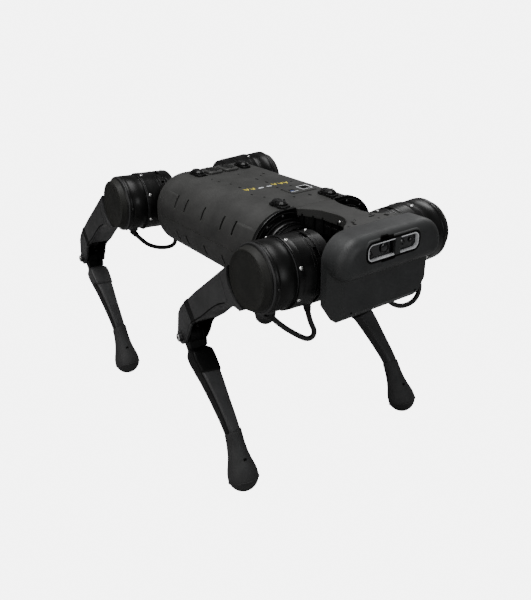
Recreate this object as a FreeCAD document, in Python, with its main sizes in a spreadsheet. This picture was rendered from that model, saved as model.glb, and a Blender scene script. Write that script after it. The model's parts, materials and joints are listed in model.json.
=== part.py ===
import FreeCAD, Part
import Sketcher
import math
import os
import re

# Four-legged walking robot, standing.  Millimetres.
# Part frame: +X towards the head, +Y to the robot's left, +Z up, z = 0 on the ground,
# origin under the middle of the bounding box.
# Trunk frame: the same axes, origin on the trunk's centre line at hip height.

Vector = FreeCAD.Vector
Placement = FreeCAD.Placement
Rotation = FreeCAD.Rotation

doc = FreeCAD.newDocument("walking_robot")

DIMENSIONS = {
    # stance
    "trunk_shift": 40.4,        # trunk centre ahead of the part's origin
    "hip_forward": 183.0,       # thigh axes ahead of and behind the trunk's centre
    "roll_offset": 47.0,        # roll axes left and right of the centre line
    "leg_plane": 130.5,         # middle plane of thigh and calf
    "link_length": 200.0,       # hip to knee, and knee to foot
    "stance_splay": 3.5,        # each leg leans outwards about its roll axis
    "thigh_turn": 138.5,        # thigh from the +X direction, turned about +Y
    "knee_turn": -88.14,        # calf from the thigh
    "foot_radius": 19.5,
    # trunk
    "barrel_half_length": 133.0,
    "barrel_front": 117.95,     # the shells end here, against the front collar
    "barrel_half_width": 97.0,
    "barrel_top": 50.0,
    "barrel_bottom": 60.0,
    "barrel_side": 8.0,         # height of the upright stretch at the widest point
    "belly_radius": 52.0,
    "shell_wall": 3.0,
    "split_height": -4.0,       # joint line between the two shells
    "rear_round": 10.0,
    "vent_width": 3.2,
    "bulkhead_face": 124.0,
    "bulkhead_wall": 6.0,
    "collar_rise": 2.0,         # the front bulkhead stands this far out of the shells
    "collar_gap": 30.2,         # half of the space in its top for the neck
    # roll motors
    "roll_motor_radius": 38.0,
    "roll_motor_inner": 96.0,
    "roll_motor_outer": 134.0,
    "roll_boss_radius": 22.0,
    "roll_boss_end": 137.0,
    # shoulder and thigh motor
    "flange_radius": 36.0,
    "flange_start": 137.5,
    "flange_end": 146.0,
    "ring_radius": 43.0,
    "ring_bore": 36.0,
    "ring_inner": 55.0,
    "ring_outer": 101.0,
    # thigh
    "drum_radius": 41.0,
    "drum_bore": 33.0,
    "drum_start": 103.0,
    "drum_floor": 113.0,
    "drum_end": 136.0,
    "arm_half": 17.5,
    "cheek_wall": 3.5,
    "cap_radius": 34.6,
    "cap_start": 138.0,
    "cap_end": 145.5,
    "cap_rim": 38.0,
    # knee drive
    "lever_radius": 16.0,
    "lever_angle": 103.0,       # from the thigh's direction, towards its upper side
    "pin_radius": 4.0,
    "link_pin_radius": 2.5,
    "running_gap": 0.06,
    "pin_end": 153.5,
    # calf
    "tongue_radius": 10.8,
    "tongue_half": 12.0,
    # cable
    "cable_radius": 3.4,
    # payload blocks
    "block_x": 102.0,
    "block_y": 39.5,
    "block_height": 8.0,
    "block_hole": 2.0,
    # battery
    "battery_rear": -70.0,
    "battery_front": 50.0,
    "battery_low": -48.0,
    "battery_high": -10.0,
    "battery_gap": 0.5,
    "button_radius": 6.0,
}

sheet = doc.addObject("Spreadsheet::Sheet", "Dim")
for row, (word, number) in enumerate(DIMENSIONS.items(), start=1):
    sheet.set(f"A{row}", word)
    sheet.set(f"B{row}", str(number))
    sheet.setAlias(f"B{row}", word)
doc.recompute()

NODES = []


def dim(word):
    """Value of one driving dimension."""
    return float(sheet.get(word))


def bind(thing, prop, formula):
    """Tie a property to the sheet; the words of the formula are aliases."""
    if isinstance(formula, str):
        thing.setExpression(prop, re.sub(r"([a-z]\w*)", r"Dim.\1", formula))
    else:
        thing.setExpression(prop, str(float(formula)))


def mirrored(side, low, high):
    """The stretch low..high, or its mirror image on the negative side."""
    if side > 0:
        return low, high
    return f"-({high})", f"-({low})"


# ---------------------------------------------------------------- building blocks

AXIS_TURN = {
    "x": Rotation(Vector(0, 1, 0), 90),
    "y": Rotation(Vector(1, 0, 0), -90),
    "z": Rotation(),
}
PLANE = {"x": ("YZ_Plane", 1), "y": ("XZ_Plane", -1), "z": ("XY_Plane", 1)}


def cylinder(axis, centre, radius, low, high):
    """Round bar along an axis from low to high; centre gives the other two coordinates."""
    bar = doc.addObject("Part::Cylinder", "bar")
    bar.Placement = Placement(Vector(), AXIS_TURN[axis])
    bind(bar, "Radius", radius)
    bind(bar, "Height", f"({high}) - ({low})")
    others = [name for name in "xyz" if name != axis]
    for name, value in zip(others, centre):
        bind(bar, f"Placement.Base.{name}", value)
    bind(bar, f"Placement.Base.{axis}", low)
    return bar


def cone(side, inner_radius, outer_radius, inner, outer):
    """Cone about the hip's axis between two distances from the centre line."""
    low, high = mirrored(side, inner, outer)
    radii = (inner_radius, outer_radius) if side > 0 else (outer_radius, inner_radius)
    taper = doc.addObject("Part::Cone", "taper")
    taper.Placement = Placement(Vector(), AXIS_TURN["y"])
    bind(taper, "Radius1", radii[0])
    bind(taper, "Radius2", radii[1])
    bind(taper, "Height", f"({high}) - ({low})")
    bind(taper, "Placement.Base.y", low)
    return taper


def block(x_range, y_range, z_range):
    """Rectangular block between three pairs of coordinates."""
    box = doc.addObject("Part::Box", "box")
    for side, name, (low, high) in zip(("Length", "Width", "Height"), "xyz",
                                       (x_range, y_range, z_range)):
        bind(box, side, f"({high}) - ({low})")
        bind(box, f"Placement.Base.{name}", low)
    return box


def ball(centre, radius):
    sphere = doc.addObject("Part::Sphere", "ball")
    sphere.Placement = Placement(Vector(*centre), Rotation())
    bind(sphere, "Radius", radius)
    return sphere


def draw(sketch, outline):
    """Closed outline: a plain point ends a line, a pair (via, end) ends an arc."""
    here = Vector(*outline[0], 0)
    ends = []
    for step in outline[1:] + [outline[0]]:
        start_first = True
        if isinstance(step[0], tuple):
            via, end = (Vector(*point, 0) for point in step)
            start_first = (via - here).cross(end - via).z > 0
            curve = Part.Arc(here, via, end) if start_first else Part.Arc(end, via, here)
        else:
            end = Vector(*step, 0)
            if end.isEqual(here, 1e-6):
                continue
            curve = Part.LineSegment(here, end)
        index = sketch.addGeometry(curve)
        ends.append((index, 1, 2) if start_first else (index, 2, 1))
        here = end
    sketch.addConstraint([
        Sketcher.Constraint("Coincident", one, finish, two, start)
        for (one, _, finish), (two, start, _) in zip(ends, ends[1:] + ends[:1])])


def plate(axis, outline, low, high, round_end=None, radius=0.0, chamfer=False):
    """Body padded along an axis from low to high.

    An outline across X gives (y, z), across Y (x, z) and across Z (x, y).
    round_end "low" or "high" names the face whose edges are rounded or chamfered.
    """
    body = doc.addObject("PartDesign::Body", "plate")
    sketch = body.newObject("Sketcher::SketchObject", "outline")
    role, sense = PLANE[axis]
    plane = next(item for item in body.Origin.OriginFeatures if item.Role == role)
    sketch.AttachmentSupport = [(plane, "")]
    sketch.MapMode = "FlatFace"
    draw(sketch, outline)
    near = low if sense > 0 else f"-({high})"
    bind(sketch, "AttachmentOffset.Base.z", near)
    pad = body.newObject("PartDesign::Pad", "pad")
    pad.Profile = sketch
    bind(pad, "Length", f"({high}) - ({low})")
    body.Tip = pad
    if round_end:
        doc.recompute()
        middle = {"x": lambda p: p.x, "y": lambda p: p.y, "z": lambda p: p.z}[axis]
        places = [middle(face.CenterOfMass) for face in pad.Shape.Faces]
        wanted = min(places) if round_end == "low" else max(places)
        index = places.index(wanted) + 1
        kind = "PartDesign::Chamfer" if chamfer else "PartDesign::Fillet"
        edge = body.newObject(kind, "edge")
        edge.Base = (pad, [f"Face{index}"])
        if chamfer:
            edge.Size = radius
        else:
            edge.Radius = radius
        body.Tip = edge
    return body


def turned(thing, degrees, about=(0, 0, 0)):
    """Turn an object about the Y direction, through a point."""
    turn = Rotation(Vector(0, 1, 0), degrees)
    point = Vector(*about)
    thing.Placement = Placement(point - turn.multVec(point), turn).multiply(thing.Placement)
    return thing


def joined(*things):
    if len(things) == 1:
        return things[0]
    union = doc.addObject("Part::MultiFuse", "union")
    union.Shapes = list(things)
    return union


def cut(base, *tools):
    result = doc.addObject("Part::Cut", "cut")
    result.Base = base
    result.Tool = joined(*tools)
    return result


def common(base, tool):
    result = doc.addObject("Part::Common", "common")
    result.Base = base
    result.Tool = tool
    return result


def node(thing, label, x="trunk_shift", y=0.0, z=0.0, roll=0.0):
    """Name a finished sub-part and place it: x, y, z from the trunk's origin, roll about X."""
    thing.Label = label
    if roll:
        thing.Placement = Placement(Vector(), Rotation(Vector(1, 0, 0), roll))
    bind(thing, "Placement.Base.x", x)
    bind(thing, "Placement.Base.y", y)
    bind(thing, "Placement.Base.z", HIP_HEIGHT + z)
    NODES.append(thing)


# ---------------------------------------------------------------- stance

LINK = dim("link_length")
THIGH_TURN = dim("thigh_turn")
CALF_TURN = THIGH_TURN + dim("knee_turn")


def along(turn, distance, front=0.0):
    """Point at a distance along a link, and off it to the link's front, as (x, z)."""
    angle = math.radians(turn)
    return (distance * math.cos(angle) + front * math.sin(angle),
            -distance * math.sin(angle) + front * math.cos(angle))


KNEE = along(THIGH_TURN, LINK)
FOOT = tuple(a + b for a, b in zip(KNEE, along(CALF_TURN, LINK)))
SPLAY = math.radians(dim("stance_splay"))
FOOT_DROP = FOOT[1] * math.cos(SPLAY) + (dim("leg_plane") - dim("roll_offset")) * math.sin(SPLAY)
HIP_HEIGHT = dim("foot_radius") - FOOT_DROP


def hip_place(ahead, side):
    """Where a leg's own origin goes: on the hip's axis, leaning outwards about the roll axis."""
    offset = dim("roll_offset")
    return {
        "x": f"trunk_shift + {ahead} * hip_forward",
        "y": side * offset * (1 - math.cos(SPLAY)),
        "z": -offset * math.sin(SPLAY),
        "roll": side * dim("stance_splay"),
    }


# ---------------------------------------------------------------- trunk

def barrel(inset):
    """Trunk section (y, z): round shoulders, short upright sides, flatter belly."""
    top = dim("barrel_top") - inset
    width = dim("barrel_half_width") - inset
    shoulder = dim("roll_offset")
    belly = dim("belly_radius") - inset
    belly_y = width - belly
    side = dim("barrel_side")
    low = -side - belly
    diagonal = math.sqrt(0.5)
    right = [
        (shoulder, top),
        ((shoulder + top * diagonal, top * diagonal), (width, 0.0)),
        (width, -side),
        ((belly_y + belly * diagonal, -side - belly * diagonal), (belly_y, low)),
    ]
    left = [
        (-belly_y, low),
        ((-belly_y - belly * diagonal, -side - belly * diagonal), (-width, -side)),
        (-width, 0.0),
        ((-shoulder - top * diagonal, top * diagonal), (-shoulder, top)),
    ]
    return right + left


def shell_blank():
    """Both shells in one: a barrel open at the front, with a closed, rounded rear."""
    wall = dim("shell_wall")
    outer = plate("x", barrel(0.0), "-barrel_half_length", "barrel_front",
                  "low", dim("rear_round"))
    inner = plate("x", barrel(wall), "-barrel_half_length + shell_wall",
                  "barrel_half_length + 5", "low", dim("rear_round") - wall)
    ports = [cylinder("x", (f"{side} * roll_offset", 0), "roll_motor_radius + 3",
                      "-barrel_half_length - 5", "-barrel_half_length + 20") for side in (1, -1)]
    return cut(outer, inner, *ports)


def vents(centres, low, high, sides=(1, -1)):
    """Upright slots through the flanks."""
    slots = []
    for side in sides:
        for x in centres:
            slots.append(block((f"{x} - vent_width / 2", f"{x} + vent_width / 2"),
                               mirrored(side, "barrel_half_width - 22", "barrel_half_width + 5"),
                               (low, high)))
    return slots


def trunk_shells():
    wide = ("-barrel_half_length - 10", "barrel_half_length + 10")
    across = ("-barrel_half_width - 10", "barrel_half_width + 10")
    above = block(wide, across, ("split_height + 0.15", "barrel_top + 10"))
    below = block(wide, across, ("-barrel_bottom - 10", "split_height - 0.15"))
    upper = common(shell_blank(), above)
    port_hole = block((41.5, 70.5), (6.5, 46.5), (40, 60))
    top = cut(upper, port_hole, *vents((-78.5, -51, -4, 45, 72.5), 15, 32.5))
    node(top, "top_shell")
    lower = common(shell_blank(), below)
    bay = block(("battery_rear - battery_gap", "battery_front + battery_gap"),
                (60, "barrel_half_width + 10"),
                ("battery_low - battery_gap", "battery_high + battery_gap"))
    bottom = cut(lower, bay, *vents((-84, 66), -32, -17.5, (1,)),
                 *vents((-74, -46, 3.5, 50), -32, -17.5, (-1,)))
    node(bottom, "bottom_shell")


def bulkhead(sense, label, inset):
    """End wall that carries the two roll motors, with room for the neck at the front."""
    low, high = mirrored(sense, "bulkhead_face - bulkhead_wall", "bulkhead_face")
    wall = plate("x", barrel(inset), low, high)
    voids = [cylinder("x", (f"{side} * roll_offset", 0), "roll_motor_radius",
                      f"({low}) - 5", f"({high}) + 5") for side in (1, -1)]
    if sense > 0:
        voids.append(block((f"({low}) - 5", f"({high}) + 5"), ("-collar_gap", "collar_gap"),
                           ("barrel_top - shell_wall - 0.1", "barrel_top + 5")))
    node(cut(wall, *voids), label)


def roll_motors(sense, label):
    """Pair of motors along X that roll the legs, with their output bosses."""
    motors = []
    for side in (1, -1):
        centre = (f"{side} * roll_offset", 0)
        can = cylinder("x", centre, "roll_motor_radius",
                       *mirrored(sense, "roll_motor_inner", "roll_motor_outer"))
        boss = cylinder("x", centre, "roll_boss_radius",
                        *mirrored(sense, "roll_motor_outer", "roll_boss_end"))
        motors.append(joined(can, boss))
    node(joined(*motors), label)


def chassis():
    """Deck between computer and battery, with a tongue to each bulkhead and side ribs."""
    reach = "bulkhead_face - bulkhead_wall"
    deck = block((-95, 95), (-78, 78), (-6, -2))
    tongue = block((f"-({reach})", reach), (-8, 8), (-6, -2))
    ribs = [block((-95, 95), (y, y + 3), (-2, 26)) for y in (-78, 75)]
    ribs.append(block((-95, 95), (-66, -63), (-45, -6)))
    node(joined(deck, tongue, *ribs), "chassis_frame")


def computer():
    """Control computer under the top shell: a case with a finned lid."""
    case = block((-80, 46), (-58, 58), (0, 24))
    fins = [block((-76, 42), (y, y + 2), (24, 32)) for y in range(-54, 55, 9)]
    node(joined(case, *fins), "main_computer")


def battery():
    """Battery that slides in from the left; its end closes the shell's flank."""
    pack = block(("battery_rear", "battery_front"), (-25, "barrel_half_width + 5"),
                 ("battery_low", "battery_high"))
    flank = plate("x", barrel(0.0), "-barrel_half_length", "barrel_half_length")
    well = cylinder("y", (30, -26), "button_radius + 0.3", 86, "barrel_half_width + 10")
    grip = block((-52, 2), ("barrel_half_width - 8", "barrel_half_width + 5"), (-34, -18))
    node(cut(common(pack, flank), well, grip), "battery_pack")
    button = cylinder("y", (0, 0), "button_radius", 0, 7)
    node(button, "power_button", x="trunk_shift + 30", y=88.0, z=-26.0)


def payload_blocks():
    """Four faceted blocks on the back, each with a threaded hole for a payload."""
    blocks = []
    for x in (1, -1):
        for y in (1, -1):
            outline = [(-12, -3), (-8, -7), (8, -7), (12, -3), (12, 3), (8, 7), (-8, 7), (-12, 3)]
            shifted = [(px + x * dim("block_x"), py + y * dim("block_y")) for px, py in outline]
            body = plate("z", shifted, "barrel_top", "barrel_top + block_height", "high", 2.5, True)
            hole = cylinder("z", (f"{x} * block_x", f"{y} * block_y"), "block_hole",
                            "barrel_top - 1", "barrel_top + block_height + 1")
            blocks.append(cut(body, hole))
    node(joined(*blocks), "payload_blocks")


def back_fittings():
    """Port block at the front of the back, two covers at its rear, pads under the belly."""
    panel = plate("z", [(42, 10), (45, 7), (67, 7), (70, 10), (70, 43), (67, 46), (45, 46), (42, 43)],
                  41, "barrel_top + 1.2", "high", 0.8, True)
    wide_port = block((48, 62), (30, 44), (43, 60))
    small_port = block((53, 63), (10.5, 18.5), (43, 60))
    node(cut(panel, wide_port, small_port), "io_panel")
    covers = []
    for low, high in ((-26, -2), (2, 26)):
        outline = [(-121, low + 3), (-118, low), (-92, low), (-88, low + 4),
                   (-88, high - 4), (-92, high), (-118, high), (-121, high - 3)]
        covers.append(plate("z", outline, "barrel_top", "barrel_top + 4", "high", 1.5, True))
    node(joined(*covers), "port_covers")
    pads = [cylinder("z", (x, y), 7, "-barrel_bottom - 5", "-barrel_bottom")
            for x in (-95, 95) for y in (-38, 38)]
    node(joined(*pads), "belly_pads")


# ---------------------------------------------------------------- neck and head

def neck():
    """Bridge from the back to the head, waisted between the shoulders."""
    right = [(118, 30), (126, 30), ((138, 23.5), (160, 17.5)), (190, 16.5), ((206, 23), (219, 38)), (232, 50)]
    left = [(232, -50), (219, -38), ((206, -23), (190, -16.5)), (160, -17.5), ((138, -23.5), (126, -30)),
            (118, -30)]
    plan = plate("z", right + left, 40, 60)
    top = dim("barrel_top")
    profile = [(118, top - 3), (118, top), ((150, 53.4), (185, 55)), (228.7, 55), (228.7, 51.6), (232, 51.6),
               (232, 42), (124.2, 42), (124.2, top - 3)]
    rib = block((126, 226), (-7, 7), (30, 42))
    node(joined(common(plan, plate("y", profile, -60, 60)), rib), "neck_bridge")


def shield(inset):
    """Head outline (y, z): round top corners, cut lower corners."""
    half = 78.5 - inset
    top = 55.0 - inset
    low = -50.0 + inset
    r = 31.0 - inset
    bend = r * (1 - math.sqrt(0.5))
    return [
        (half - r, top), ((half - bend, top - bend), (half, top - r)),
        (half, -27.0), (half - 15.0, low), (-half + 15.0, low), (-half, -27.0),
        (-half, top - r), ((-half + bend, top - bend), (-half + r, top)),
    ]


def rounded(left, right, low, high, low_r, high_r):
    """Rectangle (y, z) with one radius for its lower corners and one for its upper corners."""
    low_bend = low_r * (1 - math.sqrt(0.5))
    high_bend = high_r * (1 - math.sqrt(0.5))
    return [
        (right - high_r, high), ((right - high_bend, high - high_bend), (right, high - high_r)),
        (right, low + low_r), ((right - low_bend, low + low_bend), (right - low_r, low)),
        (left + low_r, low), ((left + low_bend, low + low_bend), (left, low + low_r)),
        (left, high - high_r), ((left + high_bend, high - high_bend), (left + high_r, high)),
    ]


def brow(inset):
    """Upper part of the face (y, z), which holds the stereo camera."""
    return rounded(-78.5 + inset, 78.5 - inset, 6.0 + inset, 55.0 - inset, 17.0 - inset, 31.0 - inset)


def camera_slot(inset, low_x, high_x):
    """Long rounded slot in the brow, crossed by an upright bar: the space left and right of the bar."""
    slot = plate("x", rounded(-43.5 + inset, 34 - inset, 26.5 + inset, 46 - inset, 7 - inset, 7 - inset),
                 low_x, high_x)
    return cut(slot, block((low_x - 1, high_x + 1), (-3 - inset, 5 + inset), (20, 50)))


def head():
    mask = plate("x", shield(0.0), 229, 251, "high", 12.0, True)
    forehead = plate("x", brow(0.0), 236, 265, "high", 14.0)
    visor = plate("x", rounded(-50, 42, 20, 50, 12, 12), 255, 265, "high", 4.0)
    hollow = plate("x", shield(3.0), 228, 248, "high", 12.0, True)
    brow_hollow = plate("x", brow(4.0), 236, 261, "high", 10.0)
    node(cut(joined(mask, forehead, visor), hollow, brow_hollow, camera_slot(0.0, 255, 270)),
         "face_shield")
    back = plate("x", shield(3.4), 232, 236)
    neck_seat = block((226, 232), (-38, 38), (24, 41.8))
    node(joined(back, neck_seat), "head_bracket")
    node(plate("x", rounded(-47, 40, 22, 48, 10, 10), 240, 256), "camera_module")
    node(camera_slot(1.3, 256, 260.5), "camera_glass")
    rim = cut(camera_slot(0.0, 260.6, 263.5),
              plate("x", rounded(-42.1, 32.6, 27.9, 44.6, 5.6, 5.6), 259, 270))
    node(rim, "camera_bezel")


# ---------------------------------------------------------------- legs

# Route of the leg cable from the shoulder's gland to the thigh's gland:
# ahead of the hip, out from the centre line, above the hip.
LEFT_ROUTE = [
    (4.0, 61.0, -47.0), (5.5, 59.0, -61.0), (12.0, 61.0, -78.0), (18.0, 78.0, -91.0),
    (19.0, 103.0, -92.0), (17.0, 117.0, -79.0), (10.0, 120.0, -61.0), (4.0, 117.0, -46.3),
]
CABLE_ROUTES = {
    "front_right": [(4.0, 61.0, -47.0), (5.5, 57.5, -66.5), (7.0, 46.3, -87.1), (7.5, 57.0, -94.5),
                    (7.0, 79.0, -80.5), (5.5, 103.0, -61.5), (4.0, 117.0, -46.3)],
    "rear_right": [(4.0, 61.0, -47.0), (4.5, 57.5, -58.5), (5.5, 42.5, -66.5), (6.0, 46.5, -80.5),
                   (6.0, 66.0, -82.0), (5.5, 90.0, -74.5), (5.0, 106.0, -60.0), (4.0, 117.0, -46.3)],
    "front_left": LEFT_ROUTE,
    "rear_left": LEFT_ROUTE,
}


def leg(ahead, side, name):
    """One leg: ahead is +1 at the front and -1 at the rear, side is +1 on the left."""
    hip = hip_place(ahead, side)
    shoulder(ahead, side, name, hip)
    thigh(side, name, hip)
    knee_drive(side, name, hip)
    calf(side, name, hip)
    cable(side, name, hip)


def shoulder(ahead, side, name, hip):
    """Casting that rolls about X and holds the thigh motor, and that motor."""
    to_trunk = [f"{-ahead} * hip_forward + {ahead} * {edge}" for edge in ("flange_start", "flange_end")]
    flange_low, flange_high = to_trunk if ahead > 0 else to_trunk[::-1]
    flange = cylinder("x", (f"{side} * roll_offset", 0), "flange_radius", flange_low, flange_high)
    ring = cylinder("y", (0, 0), "ring_radius", *mirrored(side, "ring_inner", "ring_outer"))
    web_x = ("-42", "-16") if ahead > 0 else ("16", "42")
    web = cylinder("x", (f"{side} * roll_offset", 0), 29, *web_x)
    gland = cylinder("z", (4, f"{side} * 61"), 5.5, -46, -36)
    bore = cylinder("y", (0, 0), "ring_bore", *mirrored(side, "ring_inner + 4", "ring_outer + 5"))
    inner_cap = cylinder("y", (0, 0), "ring_bore - 9", *mirrored(side, "ring_inner - 3", "ring_inner + 1"))
    neck_line = mirrored(side, 72, 77)
    groove = cut(cylinder("y", (0, 0), "ring_radius + 2", *neck_line),
                 cylinder("y", (0, 0), "ring_radius - 3", *neck_line))
    whole = cut(ring, groove)
    node(cut(joined(flange, whole, web, gland, inner_cap), bore), f"shoulder_housing_{name}", **hip)
    can = cylinder("y", (0, 0), "ring_bore", *mirrored(side, "ring_inner + 4", "ring_outer"))
    boss = cylinder("y", (0, 0), 22, *mirrored(side, "ring_outer", "ring_outer + 1.5"))
    node(joined(can, boss), f"thigh_motor_{name}", **hip)


def arm_outline():
    """Thigh arm (distance from the hip, front): flat upper edge, hollowed front edge."""
    return [
        (0, -28), (76, -32), (118, -34.5), (163, -35), (174, -34), (186, -30), (205, -12),
        ((212.5, -1), (205, 9.5)), (196, 10), (180, 5), (166, -2.5), (157, -3.5), (128, 0),
        ((98, 0.5), (70, 3.5)), ((48, 11), (34, 24)), (0, 30),
    ]


def arm_hollow():
    """Inside of the arm: room for the rod, open round the knee and under it."""
    return [
        (0, -24), (118, -31), (161, -31.5), (164, -40), (230, -40), (230, 30), (150, 30),
        (142, -3.5), (128, -3.5), (88, -3), (50, 1), (0, 5),
    ]


def thigh(side, name, hip):
    """Drum round the knee motor with the hollow arm, and the motor with its end cap."""
    drum = cylinder("y", (0, 0), "drum_radius", *mirrored(side, "drum_start", "drum_end"))
    lip = cone(side, "drum_radius", "cap_rim", "drum_end", "cap_start")
    arm = turned(plate("y", arm_outline(),
                       *mirrored(side, "leg_plane - arm_half", "leg_plane + arm_half")), THIGH_TURN)
    inner = mirrored(side, "leg_plane - arm_half + cheek_wall", "leg_plane + arm_half - cheek_wall")
    hollow = turned(plate("y", arm_hollow(), *inner), THIGH_TURN)
    cavity = cylinder("y", (0, 0), "drum_bore", *mirrored(side, "drum_floor", "cap_end + 5"))
    seat = cylinder("y", (0, 0), "cap_rim", *mirrored(side, "cap_start", "cap_end + 5"))
    pin_hole = cylinder("y", KNEE, "pin_radius", *mirrored(side, "drum_start", "pin_end + 5"))
    gland = block((-2, 10), mirrored(side, "drum_start + 8", "drum_start + 20"), (-44, -36))
    solid = cut(joined(drum, lip, arm, gland), hollow, cavity, seat, pin_hole)
    node(solid, f"thigh_frame_{name}", **hip)
    can = cylinder("y", (0, 0), "drum_bore", *mirrored(side, 128, "cap_start"))
    cap = cone(side, "cap_rim - running_gap", "cap_radius", "cap_start", "cap_end")
    node(joined(can, cap), f"knee_motor_{name}", **hip)
    shaft = cylinder("y", KNEE, "pin_radius", *mirrored(side, 111.5, "leg_plane + arm_half"))
    pin_head = cylinder("y", KNEE, 6, *mirrored(side, "leg_plane + arm_half", "pin_end"))
    node(joined(shaft, pin_head), f"knee_pin_{name}", **hip)


LEVER = (dim("lever_radius") * math.cos(math.radians(dim("lever_angle"))),
         -dim("lever_radius") * math.sin(math.radians(dim("lever_angle"))))
CRANK_TIP = along(THIGH_TURN, LEVER[0], LEVER[1])
LEVER_TIP = along(THIGH_TURN, LINK + LEVER[0], LEVER[1])


def arm_between(first, second, r_first, r_second, low, high):
    """Flat link with round ends about two points (x, z)."""
    gap = math.hypot(second[0] - first[0], second[1] - first[1])
    turn = math.degrees(math.atan2(first[1] - second[1], second[0] - first[0]))
    lean = math.asin((r_first - r_second) / gap)
    a = (r_first * math.sin(lean), r_first * math.cos(lean))
    b = (gap + r_second * math.sin(lean), r_second * math.cos(lean))
    outline = [a, b, ((gap + r_second, 0.0), (b[0], -b[1])), (a[0], -a[1]), ((-r_first, 0.0), a)]
    link = plate("y", outline, low, high)
    link.Placement = Placement(Vector(first[0], 0, first[1]), Rotation(Vector(0, 1, 0), turn))
    return link


def knee_drive(side, name, hip):
    """Crank on the knee motor's shaft, and the rod from it to the calf's lever."""
    shaft = cylinder("y", (0, 0), 6, *mirrored(side, 113.4, 127.6))
    web = arm_between((0.0, 0.0), CRANK_TIP, 9.0, 6.0, *mirrored(side, 119.5, 122))
    tip = cylinder("y", CRANK_TIP, "link_pin_radius", *mirrored(side, 122, 127))
    node(joined(shaft, web, tip), f"knee_crank_{name}", **hip)
    wide = mirrored(side, 122.4, 126.6)
    upper_eye = cylinder("y", CRANK_TIP, 5, *wide)
    lower_eye = cylinder("y", LEVER_TIP, 4.6, *wide)
    bar = doc.addObject("Part::Cylinder", "bar")
    bar.Radius = 1.9
    bind(bar, "Height", "link_length - 6")
    bar.Placement = Placement(Vector(CRANK_TIP[0], side * 124.5, CRANK_TIP[1]),
                              Rotation(Vector(0, 1, 0), THIGH_TURN + 90))
    bar.Placement.Base += bar.Placement.Rotation.multVec(Vector(0, 0, 3))
    bores = [cylinder("y", CRANK_TIP, "link_pin_radius + running_gap", *mirrored(side, 120, 130)),
             cylinder("y", LEVER_TIP, "link_pin_radius + 0.4", *mirrored(side, 120, 130))]
    node(cut(joined(upper_eye, lower_eye, bar), *bores), f"push_rod_{name}", **hip)


# Calf sections: distance from the knee, front edge, rear edge, width.
CALF_SECTIONS = [
    (27.0, 4.5, -10.5, 29.0), (38.0, 11.0, -9.5, 30.0), (66.0, 18.0, -3.0, 25.0),
    (98.0, 21.5, 2.0, 20.0), (137.0, 23.5, 6.5, 16.5), (166.0, 17.5, 2.0, 14.5),
]
BOOT_TOP = (141.0, 15.0)


def calf_blade(side):
    """Lofted blade, bowed forward, from under the knee into the boot."""
    plane = side * dim("leg_plane")
    edge = 2.5
    wires = []
    for distance, front, rear, width in CALF_SECTIONS:
        half = width / 2
        corners = [(plane - half, front - edge), (plane - half + edge, front),
                   (plane + half - edge, front), (plane + half, front - edge),
                   (plane + half, rear + edge), (plane + half - edge, rear),
                   (plane - half + edge, rear), (plane - half, rear + edge)]
        points = [Vector(distance, y, z) for y, z in corners]
        wires.append(Part.makePolygon(points + points[:1]))
    blade = doc.addObject("Part::Feature", "blade")
    blade.Shape = Part.makeLoft(wires, True, False)
    return blade


def calf(side, name, hip):
    """Calf: knee eye, lever for the rod and bowed blade; and the rubber boot over its end."""
    place = Placement(Vector(KNEE[0], 0, KNEE[1]), Rotation(Vector(0, 1, 0), CALF_TURN))
    blade = calf_blade(side)
    blade.Placement = place
    eye = cylinder("y", KNEE, "tongue_radius", *mirrored(side, 128, "leg_plane + tongue_half"))
    hub = cylinder("y", KNEE, 6.5, *mirrored(side, 118.5, 128))
    stem = plate("y", [(4, -9.5), (34, -8.5), (34, 2), (26, 2), (4, 9.5)],
                 *mirrored(side, 128, "leg_plane + tongue_half"))
    stem_inner = plate("y", [(13, -8), (34, -8.5), (34, 2), (26, 1), (13, 4)],
                       *mirrored(side, 118.5, 128))
    for piece in (stem, stem_inner):
        piece.Placement = place
    lever = arm_between(KNEE, LEVER_TIP, 8.0, 5.0, *mirrored(side, 118.5, 121.9))
    lower = along(CALF_TURN, 20.0, -3.0)
    strap = arm_between(KNEE, (KNEE[0] + lower[0], KNEE[1] + lower[1]), 8.0, 5.0,
                        *mirrored(side, 118.5, 121.9))
    lever_pin = cylinder("y", LEVER_TIP, "link_pin_radius", *mirrored(side, 121.5, 127))
    bore = cylinder("y", KNEE, "pin_radius + running_gap", *mirrored(side, 110, "pin_end"))
    node(cut(joined(blade, eye, hub, stem, stem_inner, lever, strap, lever_pin), bore),
         f"calf_tube_{name}", **hip)
    top = Vector(BOOT_TOP[0], side * dim("leg_plane"), BOOT_TOP[1])
    ball_centre = Vector(LINK, side * dim("leg_plane"), 0)
    axis = ball_centre - top
    sleeve = doc.addObject("Part::Cone", "sleeve")
    sleeve.Radius1 = 11.0
    bind(sleeve, "Radius2", "foot_radius")
    sleeve.Height = axis.Length
    sleeve.Placement = place.multiply(Placement(top, Rotation(Vector(0, 0, 1), axis)))
    sole = ball((0, 0, 0), "foot_radius")
    sole.Placement = place.multiply(Placement(ball_centre, Rotation()))
    filling = calf_blade(side)
    filling.Placement = place
    node(cut(joined(sleeve, sole), filling), f"foot_boot_{name}", **hip)


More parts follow.
